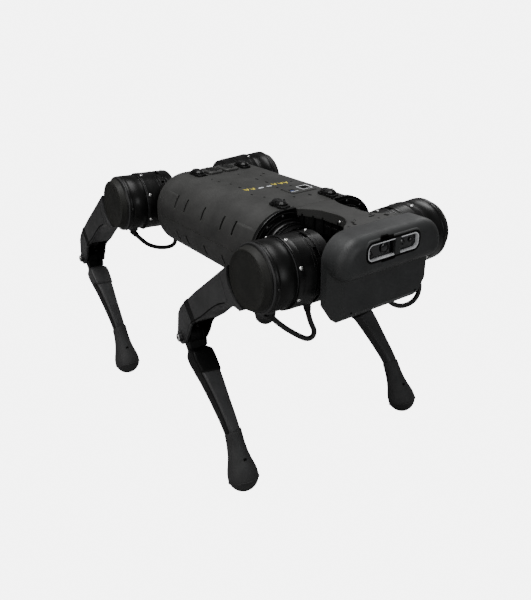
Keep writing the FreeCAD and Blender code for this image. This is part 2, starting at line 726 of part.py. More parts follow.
def rounded_path(points):
    """Straight runs joined by tangent arcs, each as large as its two runs allow."""
    edges = []
    here = points[0]
    for before, corner, after in zip(points, points[1:], points[2:]):
        back = (before - corner).normalize()
        ahead = (after - corner).normalize()
        half_turn = (math.pi - back.getAngle(ahead)) / 2
        reach = 0.45 * min((before - corner).Length, (after - corner).Length)
        radius = reach / math.tan(half_turn)
        start = corner + back * reach
        end = corner + ahead * reach
        inward = (back + ahead).normalize()
        middle = corner + inward * (math.hypot(reach, radius) - radius)
        edges.append(Part.LineSegment(here, start).toShape())
        edges.append(Part.Arc(start, middle, end).toShape())
        here = end
        print(f"cable bend radius {radius:.1f}")
    edges.append(Part.LineSegment(here, points[-1]).toShape())
    return Part.Wire(edges)


def cable(side, name, hip):
    """Motor cable hanging in a loop between the two glands."""
    points = [Vector(x, side * y, z) for x, y, z in CABLE_ROUTES[name]]
    path = rounded_path(points)
    radius = dim("cable_radius")
    section = Part.Wire(Part.makeCircle(radius, points[0], points[1] - points[0]))
    tube = path.makePipeShell([section], True, False)
    loom = doc.addObject("Part::Feature", "loom")
    loom.Shape = tube
    print(f"cable length {path.Length:.1f}, volume ratio "
          f"{tube.Volume / (math.pi * radius ** 2 * path.Length):.4f}")
    node(loom, f"leg_cable_{name}", **hip)


# ---------------------------------------------------------------- assembly

trunk_shells()
bulkhead(1, "front_bulkhead", -dim("collar_rise"))
bulkhead(-1, "rear_bulkhead", dim("shell_wall") + 0.1)
roll_motors(1, "front_roll_motors")
roll_motors(-1, "rear_roll_motors")
chassis()
computer()
battery()
payload_blocks()
back_fittings()
neck()
head()
for forward, fore_name in ((1, "front"), (-1, "rear")):
    for left, side_name in ((-1, "right"), (1, "left")):
        leg(forward, left, f"{fore_name}_{side_name}")

doc.recompute()
for item in doc.Objects:
    if "Invalid" in item.State or "Error" in item.State:
        raise RuntimeError(f"{item.Name} ({item.Label}) failed: {item.State}")
for item in NODES:
    if item.Shape.isNull() or not item.Shape.isValid() or item.Shape.Volume <= 0:
        raise RuntimeError(f"{item.Label} has no valid shape")

os.makedirs("parts", exist_ok=True)
for item in NODES:
    item.Shape.exportStep(f"parts/{item.Label}.step")
whole = FreeCAD.BoundBox()
for item in NODES:
    whole.add(item.Shape.BoundBox)
print(len(NODES), "sub-parts")
print("box", [round(v, 2) for v in (whole.XMin, whole.XMax, whole.YMin, whole.YMax,
                                    whole.ZMin, whole.ZMax)])
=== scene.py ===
import json
import math

import bmesh
import bpy
from mathutils import Euler, Matrix, Vector


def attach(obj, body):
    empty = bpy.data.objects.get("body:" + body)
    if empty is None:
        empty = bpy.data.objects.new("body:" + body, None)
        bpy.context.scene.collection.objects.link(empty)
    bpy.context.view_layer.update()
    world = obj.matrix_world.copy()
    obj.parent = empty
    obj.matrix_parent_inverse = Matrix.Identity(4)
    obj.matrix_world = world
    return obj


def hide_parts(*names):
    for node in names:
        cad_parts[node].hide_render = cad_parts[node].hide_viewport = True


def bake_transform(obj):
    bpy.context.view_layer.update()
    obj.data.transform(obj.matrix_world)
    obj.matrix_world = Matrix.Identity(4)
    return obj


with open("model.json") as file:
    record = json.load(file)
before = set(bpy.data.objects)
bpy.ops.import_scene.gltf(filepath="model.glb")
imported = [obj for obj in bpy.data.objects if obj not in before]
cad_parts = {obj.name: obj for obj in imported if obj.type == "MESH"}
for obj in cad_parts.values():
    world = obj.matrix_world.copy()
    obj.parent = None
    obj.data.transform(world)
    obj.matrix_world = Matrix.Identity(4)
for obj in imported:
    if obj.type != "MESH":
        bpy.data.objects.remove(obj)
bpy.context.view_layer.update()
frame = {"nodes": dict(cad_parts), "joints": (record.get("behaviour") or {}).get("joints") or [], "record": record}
RECORD = frame["record"]
JOINTS = {joint["name"]: joint for joint in frame["joints"]}
LEGS = ("front_right", "front_left", "rear_right", "rear_left")
MM = 0.001


# -------- places from the frame

def side_of(leg):
    return 1 if leg.endswith("left") else -1


def ahead_of(leg):
    return 1 if leg.startswith("front") else -1


def leg_frame(leg):
    """Frame of a leg: X and Z from its hip, Y from the robot's middle plane, leaning outwards."""
    roll = Vector(JOINTS[f"hip_roll_{leg}"]["pos_m"])
    pitch = JOINTS[f"hip_pitch_{leg}"]
    lean = math.atan2(pitch["axis"][2], pitch["axis"][1])
    pivot = Vector((0, roll.y, 0))
    hip = Vector((pitch["pos_m"][0], 0, roll.z))
    return Matrix.Translation(hip + pivot) @ Matrix.Rotation(lean, 4, "X") @ Matrix.Translation(-pivot)


def knee_in_leg(leg):
    knee = leg_frame(leg).inverted() @ Vector(JOINTS[f"knee_{leg}"]["pos_m"])
    knee.y = 0
    return knee


def thigh_frame(leg):
    """Frame with X along the thigh from the hip, Z to its front."""
    knee = knee_in_leg(leg)
    return leg_frame(leg) @ Matrix.Rotation(math.atan2(-knee.z, knee.x), 4, "Y")


FOOT_RADIUS = 19.5
LINK = 200.0


def calf_frame(leg):
    """Frame with X along the calf from the knee, Z to its front; the foot stands on the floor."""
    drop = JOINTS[f"knee_{leg}"]["pos_m"][2] - FOOT_RADIUS * MM
    upright = leg_frame(leg).col[2].z
    turn = math.asin(drop / (LINK * MM * upright))
    return leg_frame(leg) @ Matrix.Translation(knee_in_leg(leg)) @ Matrix.Rotation(turn, 4, "Y")


HIPS = [leg_frame(leg) @ Vector() for leg in LEGS]
TRUNK = Vector(((HIPS[0].x + HIPS[2].x) / 2, 0, JOINTS["hip_roll_front_left"]["pos_m"][2]))
TRUNK_FRAME = Matrix.Translation(TRUNK)
HIP_AHEAD = 183.0
ROLL_OFFSET = 47.0
LEG_PLANE = 130.5


def roll_axis(side, sense, ahead=0):
    """Frame on a roll motor's axis with Z forwards (sense 1) or backwards (-1)."""
    return facing((ahead, side * ROLL_OFFSET, 0), (sense, 0, 0))


def side_plane(side):
    """Frame that lays (along, up) outlines in an upright side plane and raises them outwards."""
    return Matrix(((1, 0, 0, 0), (0, 0, side, 0), (0, 1, 0, 0), (0, 0, 0, 1)))


# -------- camera

CAMERA_PLACE = Vector((0.7117, -0.4884, 0.2821))
CAMERA_HEADING = math.radians(145.18)
CAMERA_DOWN = math.radians(25.50)
CAMERA_ROLL = math.radians(-1.36)
LENS = 37.69
SENSOR = 36.0


def added(name, data):
    """New object in the scene."""
    thing = bpy.data.objects.new(name, data)
    bpy.context.scene.collection.objects.link(thing)
    return thing


def camera():
    data = bpy.data.cameras.new("camera")
    thing = added("camera", data)
    data.sensor_width = SENSOR
    data.lens = LENS
    turn = Euler((math.pi / 2 - CAMERA_DOWN, 0, CAMERA_HEADING - math.pi / 2)).to_matrix()
    turn = turn @ Matrix.Rotation(CAMERA_ROLL, 3, "Z")
    thing.matrix_world = Matrix.Translation(TRUNK + CAMERA_PLACE) @ turn.to_4x4()
    data.clip_start = 0.05
    bpy.context.scene.camera = thing


camera()


# -------- materials

def material(name, colour, roughness, specular=0.5, metallic=0.0):
    """Principled material with its constant values set on the shader itself."""
    made = bpy.data.materials.new(name)
    made.use_nodes = True
    shader = made.node_tree.nodes["Principled BSDF"]
    shader.inputs["Base Color"].default_value = (*colour, 1)
    shader.inputs["Roughness"].default_value = roughness
    shader.inputs["Specular IOR Level"].default_value = specular
    shader.inputs["Metallic"].default_value = metallic
    return made


def noise(made, scale, detail, rough=0.5, stretch=(1, 1, 1)):
    """Noise over the object's own coordinates, in cycles per metre."""
    nodes, links = made.node_tree.nodes, made.node_tree.links
    where = nodes.new("ShaderNodeTexCoord")
    mapping = nodes.new("ShaderNodeMapping")
    mapping.inputs["Scale"].default_value = stretch
    texture = nodes.new("ShaderNodeTexNoise")
    texture.inputs["Scale"].default_value = scale
    texture.inputs["Detail"].default_value = detail
    texture.inputs["Roughness"].default_value = rough
    links.new(where.outputs["Object"], mapping.inputs["Vector"])
    links.new(mapping.outputs["Vector"], texture.inputs["Vector"])
    return texture.outputs["Fac"]


def ramp(made, source, low, high):
    """Map the middle of a noise value's spread to low..high."""
    nodes, links = made.node_tree.nodes, made.node_tree.links
    node = nodes.new("ShaderNodeMapRange")
    node.inputs["From Min"].default_value = 0.3
    node.inputs["From Max"].default_value = 0.7
    node.inputs["To Min"].default_value = low
    node.inputs["To Max"].default_value = high
    links.new(source, node.inputs["Value"])
    return node.outputs["Result"]


def tint(made, source, first, second):
    """Vary the base colour between two colours."""
    nodes, links = made.node_tree.nodes, made.node_tree.links
    node = nodes.new("ShaderNodeValToRGB")
    low, high = node.color_ramp.elements
    low.position, low.color = 0.35, (*first, 1)
    high.position, high.color = 0.65, (*second, 1)
    links.new(source, node.inputs["Fac"])
    links.new(node.outputs["Color"], nodes["Principled BSDF"].inputs["Base Color"])


def bump(made, source, strength, distance):
    nodes, links = made.node_tree.nodes, made.node_tree.links
    node = nodes.new("ShaderNodeBump")
    node.inputs["Strength"].default_value = strength
    node.inputs["Distance"].default_value = distance
    links.new(source, node.inputs["Height"])
    links.new(node.outputs["Normal"], nodes["Principled BSDF"].inputs["Normal"])


def rough(made, source):
    made.node_tree.links.new(source, made.node_tree.nodes["Principled BSDF"].inputs["Roughness"])


def moulded(name, colour, roughness, grain=0.00006, **gloss):
    """Textured moulded plastic: fine spark-eroded grain, broad uneven sheen, slight mottling."""
    made = material(name, colour, roughness, **gloss)
    tint(made, noise(made, 28, 6, 0.62), [c * 0.78 for c in colour], [c * 1.22 for c in colour])
    rough(made, ramp(made, noise(made, 60, 5), roughness - 0.07, roughness + 0.08))
    bump(made, noise(made, 1500, 2, 0.6), 0.5, grain)
    return made


def machined(name, colour, roughness, turning=(1, 1, 1), **gloss):
    """Anodised turned metal: faint tool lines and smudges in the gloss."""
    made = material(name, colour, roughness, **gloss)
    smudge = noise(made, 35, 5, 0.6)
    tint(made, smudge, [c * 0.75 for c in colour], [c * 1.25 for c in colour])
    rough(made, ramp(made, smudge, roughness - 0.07, roughness + 0.12))
    bump(made, noise(made, 900, 2, 0.5, turning), 0.2, 0.00003)
    return made


TURNED = (0.02, 1, 0.02)
MATERIALS = {
    "shell": moulded("shell_charcoal", (0.030, 0.030, 0.029), 0.58, specular=0.35),
    "mask": moulded("mask_charcoal", (0.024, 0.025, 0.0255), 0.52, specular=0.35),
    "leg": moulded("leg_charcoal", (0.028, 0.028, 0.029), 0.47, 0.00003, specular=0.35),
    "foot": moulded("foot_rubber", (0.027, 0.027, 0.0275), 0.66, 0.0001, specular=0.3),
    "sole": moulded("sole_rubber", (0.020, 0.020, 0.0205), 0.55, 0.0001, specular=0.35),
    "cast": machined("cast_black", (0.003, 0.003, 0.003), 0.38, specular=0.3),
    "motor": machined("motor_black", (0.0028, 0.0028, 0.0029), 0.29, TURNED, specular=0.3),
    "drum": machined("drum_black", (0.0036, 0.0036, 0.0036), 0.33, TURNED, specular=0.22),
    "cap": moulded("cap_olive_black", (0.0115, 0.0115, 0.0100), 0.60, 0.00003, specular=0.25),
    "gloss": machined("gloss_black", (0.0025, 0.0025, 0.0025), 0.14, specular=0.5),
    "steel": machined("black_steel", (0.012, 0.012, 0.0125), 0.30, specular=0.5),
    "bright": machined("bright_steel", (0.75, 0.75, 0.74), 0.22, metallic=1.0),
    "rim": machined("bright_rim", (0.80, 0.81, 0.83), 0.35),
    "chassis": machined("chassis_black", (0.006, 0.006, 0.006), 0.4),
    "strip": moulded("strip_black", (0.0022, 0.0022, 0.0023), 0.50, 0.00003, specular=0.12),
    # Near-black patches of painted shade, standing in for the shade in holes, gaps, recesses and creases.
    "shade_patch": moulded("painted_shade_black", (0.0015, 0.0015, 0.0015), 0.75, 0.00002, specular=0.1),
    "lens": machined("lens_glass", (0.003, 0.0035, 0.005), 0.06, specular=0.8),
    "yellow": moulded("mark_yellow", (0.48, 0.40, 0.035), 0.5, 0.00002),
    "white": moulded("mark_white", (0.50, 0.52, 0.55), 0.5, 0.00002),
    "blue": moulded("mark_blue", (0.10, 0.12, 0.26), 0.45, 0.00002),
    "gold": machined("foil_gold", (0.35, 0.30, 0.14), 0.35, metallic=0.5),
    "braid": moulded("cable_braid", (0.004, 0.004, 0.0042), 0.5, 0.00008, specular=0.45),
}


# -------- mesh building, in millimetres

def facing(point, direction):
    """Frame at a point with its Z along a direction."""
    turn = Vector(direction).to_track_quat("Z", "Y").to_matrix().to_4x4()
    return Matrix.Translation(point) @ turn


def polar(radius, degrees):
    turn = math.radians(degrees)
    return radius * math.cos(turn), radius * math.sin(turn)


def smooth(piece, angle):
    piece.data.shade_smooth()
    piece.data.set_sharp_from_angle(angle=math.radians(angle))


def place(name, mesh, body, key):
    """Object from a mesh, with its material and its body."""
    piece = added(name, mesh)
    mesh.materials.clear()
    mesh.materials.append(MATERIALS[key])
    if body:
        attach(piece, body)
    return piece


def bevel(piece, width, angle):
    edge = piece.modifiers.new("edge", "BEVEL")
    edge.width = width * MM
    edge.segments = 2
    edge.limit_method = "ANGLE"
    edge.angle_limit = math.radians(angle)
    edge.harden_normals = True
    edge.use_clamp_overlap = True


class Shape:
    """Vertices and faces in millimetres, gathered into one mesh."""

    def __init__(self):
        self.points = []
        self.faces = []

    def add(self, points, faces, at=Matrix()):
        start = len(self.points)
        self.points += [at @ Vector(point) for point in points]
        self.faces += [[start + index for index in face] for face in faces]

    def loft(self, rings, at=Matrix(), closed=False):
        """Skin over rings of equally many points; closed joins the last ring to the first."""
        count = len(rings[0])
        faces = []
        spans = len(rings) if closed else len(rings) - 1
        for k in range(spans):
            here, there = k * count, (k + 1) % len(rings) * count
            for i in range(count):
                j = (i + 1) % count
                faces.append((here + i, here + j, there + j, there + i))
        if not closed:
            faces.append(tuple(reversed(range(count))))
            faces.append(tuple(range((len(rings) - 1) * count, len(rings) * count)))
        self.add([point for ring in rings for point in ring], faces, at)

    def lathe(self, profile, at=Matrix(), steps=64, closed=False):
        """Turn (radius, height) points about Z."""
        turns = [360 * step / steps for step in range(steps)]
        self.loft([[(*polar(r, turn), h) for turn in turns] for r, h in profile], at, closed)

    def hoop(self, profile, at=Matrix(), steps=64):
        """Turn a closed outline of (radius, height) points about Z."""
        self.lathe(profile, at, steps, closed=True)

    def arc_band(self, profile, start, end, at=Matrix(), steps=24):
        """A closed (radius, height) profile swept part of the way round Z, in degrees."""
        rings = []
        for step in range(steps + 1):
            turn = start + (end - start) * step / steps
            rings.append([(*polar(r, turn), h) for r, h in profile])
        self.loft(rings, at)

    def prism(self, outline, low, high, at=Matrix()):
        self.loft([[(u, v, low) for u, v in outline], [(u, v, high) for u, v in outline]], at)

    def screw(self, at, radius=2.4, height=1.5):
        """Button-head screw with a hexagonal socket."""
        socket = 0.46 * radius * math.cos(math.pi / 6)
        dome = ((1.0, -0.3), (1.0, 0.25), (0.9, 0.62), (0.7, 0.9), (0.52, 1.0))
        turns = range(0, 360, 15)
        rings = [[(*polar(radius * r, turn), height * h) for turn in turns] for r, h in dome]
        for h in (0.98, 0.3):
            rings.append([(*polar(socket / math.cos(math.radians(turn % 60 - 30)), turn), height * h)
                          for turn in turns])
        self.loft(rings, at)

    def make(self, name, body, key, at=Matrix(), width=0.0, angle=35):
        """One object from everything added, placed by a frame in metres."""
        mesh = bpy.data.meshes.new(name)
        mesh.from_pydata([at @ (point * MM) for point in self.points], [], self.faces)
        bm = bmesh.new()
        bm.from_mesh(mesh)
        bmesh.ops.recalc_face_normals(bm, faces=bm.faces)
        bm.to_mesh(mesh)
        bm.free()
        piece = place(name, mesh, body, key)
        smooth(piece, angle)
        if width:
            bevel(piece, width, angle)
        return piece

    def on_trunk(self, name, key, width=0.0, angle=35):
        """One trunk piece, built about the trunk's origin."""
        return self.make(name, "trunk", key, TRUNK_FRAME, width, angle)


def rounded_box(half_u, half_v, radius, centre=(0, 0)):
    """Outline of a rectangle with round corners."""
    outline = []
    for u, v, start in ((1, 1, 0), (-1, 1, 90), (-1, -1, 180), (1, -1, 270)):
        for turn in range(start, start + 91, 15):
            x, y = polar(radius, turn)
            outline.append((centre[0] + u * (half_u - radius) + x, centre[1] + v * (half_v - radius) + y))
    return outline


def tube_ring(inner, outer, low, high):
    """Rings of a closed frame between two outlines."""
    return [[(u, v, h) for u, v in line] for line, h in
            ((outer, low), (outer, high), (inner, high), (inner, low))]


def body_of_node(node):
    bodies = RECORD["behaviour"]["bodies"]
    return next(body for body, nodes in bodies.items() if node in nodes)


CREASE = 30


def softened(node, key, width):
    """The CAD node's own shape with its flat faces merged and its sharp edges rounded."""
    mesh = frame["nodes"][node].data.copy()
    for layer in ("custom_normal", "sharp_face", "sharp_edge"):
        if layer in mesh.attributes:
            mesh.attributes.remove(mesh.attributes[layer])
    bm = bmesh.new()
    bm.from_mesh(mesh)
    bmesh.ops.remove_doubles(bm, verts=bm.verts, dist=2e-6)
    bmesh.ops.dissolve_limit(bm, angle_limit=math.radians(0.3), verts=bm.verts, edges=bm.edges,
                             use_dissolve_boundaries=False)
    bm.to_mesh(mesh)
    bm.free()
    piece = place(node + "_skin", mesh, body_of_node(node), key)
    smooth(piece, CREASE)
    bevel(piece, width, CREASE)
    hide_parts(node)


# -------- leg cables

# Route from the shoulder's gland to the thigh's gland, in the leg's frame, in metres:
# ahead of the hip, out from the middle plane, above the hip.
LEFT_ROUTE = (
    (0.0040, 0.0610, -0.0470), (0.0055, 0.0590, -0.0610), (0.0120, 0.0610, -0.0780),
    (0.0180, 0.0780, -0.0910), (0.0190, 0.1030, -0.0920), (0.0170, 0.1170, -0.0790),
    (0.0100, 0.1200, -0.0610), (0.0040, 0.1170, -0.0463),
)
CABLE_ROUTES = {
    "front_right": ((0.0040, 0.0610, -0.0470), (0.0055, 0.0575, -0.0665), (0.0070, 0.0463, -0.0871),
                    (0.0075, 0.0570, -0.0945), (0.0070, 0.0790, -0.0805), (0.0055, 0.1030, -0.0615),
                    (0.0040, 0.1170, -0.0463)),
    "rear_right": ((0.0040, 0.0610, -0.0470), (0.0045, 0.0575, -0.0585), (0.0055, 0.0425, -0.0665),
                   (0.0060, 0.0465, -0.0805), (0.0060, 0.0660, -0.0820), (0.0055, 0.0900, -0.0745),
                   (0.0050, 0.1060, -0.0600), (0.0040, 0.1170, -0.0463)),
    "front_left": LEFT_ROUTE,
    "rear_left": LEFT_ROUTE,
}
CABLE_RADIUS = 0.0034
BRAID_STRANDS = 7
BRAID_DEPTH = 0.00020
BRAID_STEP = 0.0006


def smooth_route(points):
    """Points along the NURBS line of a route."""
    curve = bpy.data.curves.new("route", "CURVE")
    curve.dimensions = "3D"
    curve.resolution_u = 40
    spline = curve.splines.new("NURBS")
    spline.points.add(len(points) - 1)
    for knot, point in zip(spline.points, points):
        knot.co = (*point, 1)
    spline.order_u = 3
    spline.use_endpoint_u = True
    spline.resolution_u = 40
    holder = bpy.data.objects.new("route", curve)
    line = bpy.data.meshes.new_from_object(holder)
    path = [vertex.co.copy() for vertex in line.vertices]
    bpy.data.meshes.remove(line)
    bpy.data.objects.remove(holder)
    bpy.data.curves.remove(curve)
    return path


def even_steps(path, step):
    """The same line with its points evenly spaced."""
    steps = [0]
    for one, two in zip(path, path[1:]):
        steps.append(steps[-1] + (two - one).length)
    count = round(steps[-1] / step)
    points = []
    index = 0
    for k in range(count + 1):
        goal = steps[-1] * k / count
        while index < len(steps) - 2 and steps[index + 1] < goal:
            index += 1
        share = (goal - steps[index]) / max(steps[index + 1] - steps[index], 1e-12)
        points.append(path[index].lerp(path[index + 1], min(share, 1)))
    return points, steps[-1]


def braided_tube(points, step):
    """Rings in millimetres round a line, raised where the strands of the braid cross over."""
    sides = 36
    across = (points[1] - points[0]).cross(Vector((0, 0, 1))).normalized()
    rings = []
    pitch = math.tau * CABLE_RADIUS / BRAID_STRANDS
    for k, point in enumerate(points):
        ahead = (points[min(k + 1, len(points) - 1)] - points[max(k - 1, 0)]).normalized()
        across = (across - ahead * across.dot(ahead)).normalized()
        other = ahead.cross(across)
        ring = []
        for i in range(sides):
            turn = math.tau * i / sides
            phase = math.tau * k * step / pitch
            left = math.cos(BRAID_STRANDS * turn + phase)
            right = math.cos(BRAID_STRANDS * turn - phase)
            radius = CABLE_RADIUS - BRAID_DEPTH * (1 - max(left, right))
            ring.append((point + (across * math.cos(turn) + other * math.sin(turn)) * radius) / MM)
        rings.append(ring)
    return rings


def relief(leg, name, body, start, ahead):
    """Tapered rubber strain relief with two ribs, where the cable leaves a gland."""
    shape = Shape()
    profile = [(0.6, -2.2), (5, -2.2), (5, 0.6), (4.6, 1.4), (4.6, 2.4), (5, 2.8), (4.7, 4.2),
               (4.2, 4.6), (4.2, 5.6), (4.5, 6), (4.1, 8.2), (3.5, 9.4), (2.6, 9.6), (0.6, 9.6)]
    shape.lathe(profile, facing(start / MM, ahead), 32)
    return shape.make(f"cable_relief_{name}_{leg}", body, "cast")


def leg_cable(leg):
    at = leg_frame(leg)
    side = side_of(leg)
    path = smooth_route([at @ Vector((x, side * y, z)) for x, y, z in CABLE_ROUTES[leg]])
    points, length = even_steps(path, BRAID_STEP)
    shape = Shape()
    shape.loft(braided_tube(points, BRAID_STEP))
    piece = shape.make(f"leg_cable_{leg}_braid", None, "braid")
    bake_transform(piece)
    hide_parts(f"leg_cable_{leg}")
    inner = relief(leg, "inner", f"shoulder_{leg}", points[0], points[6] - points[0])
    outer = relief(leg, "outer", f"thigh_{leg}", points[-1], points[-7] - points[-1])


for leg in LEGS:
    leg_cable(leg)


# -------- CAD shapes with rounded edges

SKINS = {
    "top_shell": ("shell", 0.5), "bottom_shell": ("shell", 0.5), "neck_bridge": ("shell", 1.2),
    "port_covers": ("shell", 0.6), "battery_pack": ("shell", 0.5), "payload_blocks": ("cast", 0.6),
    "io_panel": ("shell", 0.4), "face_shield": ("mask", 1.6), "head_bracket": ("cast", 0.5),
    "front_bulkhead": ("gloss", 0.7), "rear_bulkhead": ("cast", 0.5), "front_roll_motors": ("motor", 0.6),
    "rear_roll_motors": ("motor", 0.6), "chassis_frame": ("chassis", 0.4),
    "main_computer": ("chassis", 0.5), "belly_pads": ("foot", 0.8), "power_button": ("cap", 0.6),
    "camera_module": ("cast", 0.5), "camera_glass": ("lens", 0.3), "camera_bezel": ("rim", 0.35),
}
LEG_SKINS = {
    "shoulder_housing": ("motor", 0.9), "thigh_motor": ("motor", 0.5), "thigh_frame": ("leg", 1),
    "knee_motor": ("cap", 0.7), "knee_pin": ("steel", 0.5), "knee_crank": ("steel", 0.4),
    "push_rod": ("steel", 0.3), "calf_tube": ("strip", 0.9),
}
for node, (key, width) in SKINS.items():
    softened(node, key, width)
for leg in LEGS:
    for part, (key, width) in LEG_SKINS.items():
        softened(f"{part}_{leg}", key, width)


# -------- shoulder

RING_RADIUS = 43
FLANGE_START = 137.5
FLANGE_END = 146


def on_drum(side, angle, out, radius):
    """Frame on a drum about the hip's axis: angle up from ahead, distance out, radius."""
    x, z = polar(1, angle)
    return facing((radius * x, side * out, radius * z), (x, 0, z))


def shoulder_details(leg):
    side = side_of(leg)
    ahead = ahead_of(leg)
    at = leg_frame(leg)
    body = f"shoulder_{leg}"
    hip_axis = facing((0, 0, 0), (0, side, 0))
    screws = Shape()
    for k in range(7):
        screws.screw(on_drum(side, 76 + k * 360 / 7, 101.6, RING_RADIUS + 0.1))
    for angle in (100, 340, 220):
        screws.screw(on_drum(side, angle, 60, RING_RADIUS - 0.2), 2, 1.3)
    screws.make(f"ring_screws_{leg}", body, "bright", at)
    skirt = Shape()
    skirt.hoop([(41.7, 100), (RING_RADIUS + 0.15, 96.8), (RING_RADIUS + 0.25, 97.2),
                (RING_RADIUS + 0.25, 104.4), (RING_RADIUS - 0.3, 105.2), (41.7, 105.2)], hip_axis, 96)
    skirt.make(f"ring_skirt_{leg}", body, "motor", at, angle=30)
    bands = Shape()
    for low, high, rise in ((70.4, 71.6, 0.35), (77.4, 78.6, 0.35), (65.6, 66.4, 0.3), (82, 82.4, 0.15)):
        bands.hoop([(RING_RADIUS - 1, low), (RING_RADIUS + rise, low), (RING_RADIUS + rise, high),
                    (RING_RADIUS - 1, high)], hip_axis, 96)
    bands.make(f"ring_edges_{leg}", body, "gloss", at, 0.15)
    teeth = Shape()
    for k in range(9):
        start = 12 + 40 * k
        teeth.arc_band([(39.5, 71.8), (42.6, 71.8), (42.6, 77.2), (39.5, 77.2)], start, start + 22,
                       hip_axis, 10)
    teeth.make(f"ring_teeth_{leg}", body, "cast", at, 0.4)
    cap = Shape()
    cap.lathe([(0.5, -52.2), (8, -52.2), (9, -51.4), (20, -51.4), (21, -52), (24, -52), (24.5, -51.2),
               (24.5, -50.5), (0.5, -50.5)], facing((0, 0, 0), (0, -side, 0)), 64)
    cap.make(f"ring_inner_cap_{leg}", body, "cast", at, 0.2)
    # Ribbed face of the roll flange: rim, hub and slanted ribs with triangular recesses between.
    web = Shape()
    face = roll_axis(side, -ahead, ahead * (FLANGE_START - HIP_AHEAD))
    web.hoop([(33, -1.2), (37.4, -1.2), (37.4, 0.6), (33, 0.6)], face, 72)
    web.hoop([(10, -0.8), (22.5, -0.8), (22.5, 0.3), (10, 0.3)], face, 48)
    web.make(f"roll_flange_rims_{leg}", body, "motor", at, 0.3)
    inner_face = roll_axis(side, ahead, ahead * (FLANGE_END - HIP_AHEAD))
    ribs = Shape()
    ribs.hoop([(31.5, -0.3), (35.6, -0.3), (35.6, 1.4), (31.5, 1.4)], inner_face, 72)
    for k in range(12):
        lean = 12.6 if k % 2 else -12.6
        inner_end = Vector(polar(30.2, 30 * k - lean))
        outer_end = Vector(polar(33.2, 30 * k + lean))
        across = (outer_end - inner_end).normalized()
        across = Vector((-across.y, across.x)) * 0.9
        outline = [inner_end + across, inner_end - across, outer_end - across, outer_end + across]
        ribs.prism([tuple(point) for point in outline], -0.3, 1.4, inner_face)
    for k in range(6):
        spot = inner_face @ Vector((*polar(33.5, 60 * k + 30), 1.2))
        ribs.screw(facing(spot, (ahead, 0, 0)), 1.5, 0.9)
    ribs.make(f"roll_flange_ribs_{leg}", body, "motor", at)
    gland = Shape()
    gland.hoop([(4.6, -46.4), (5.9, -46.4), (6.4, -45.6), (6.4, -44.2), (5.9, -43.4), (4.6, -43.4)],
               Matrix.Translation((4, side * 61, 0)), 36)
    gland.make(f"cable_gland_ring_{leg}", body, "cast", at, 0.2)


# -------- thigh

ARM_FACE = 148
FORK_INNER = 117
FORK_OUTER = 144
ROD_LOW = 122.3
ROD_HIGH = 127.1
DRUM_RADIUS = 41


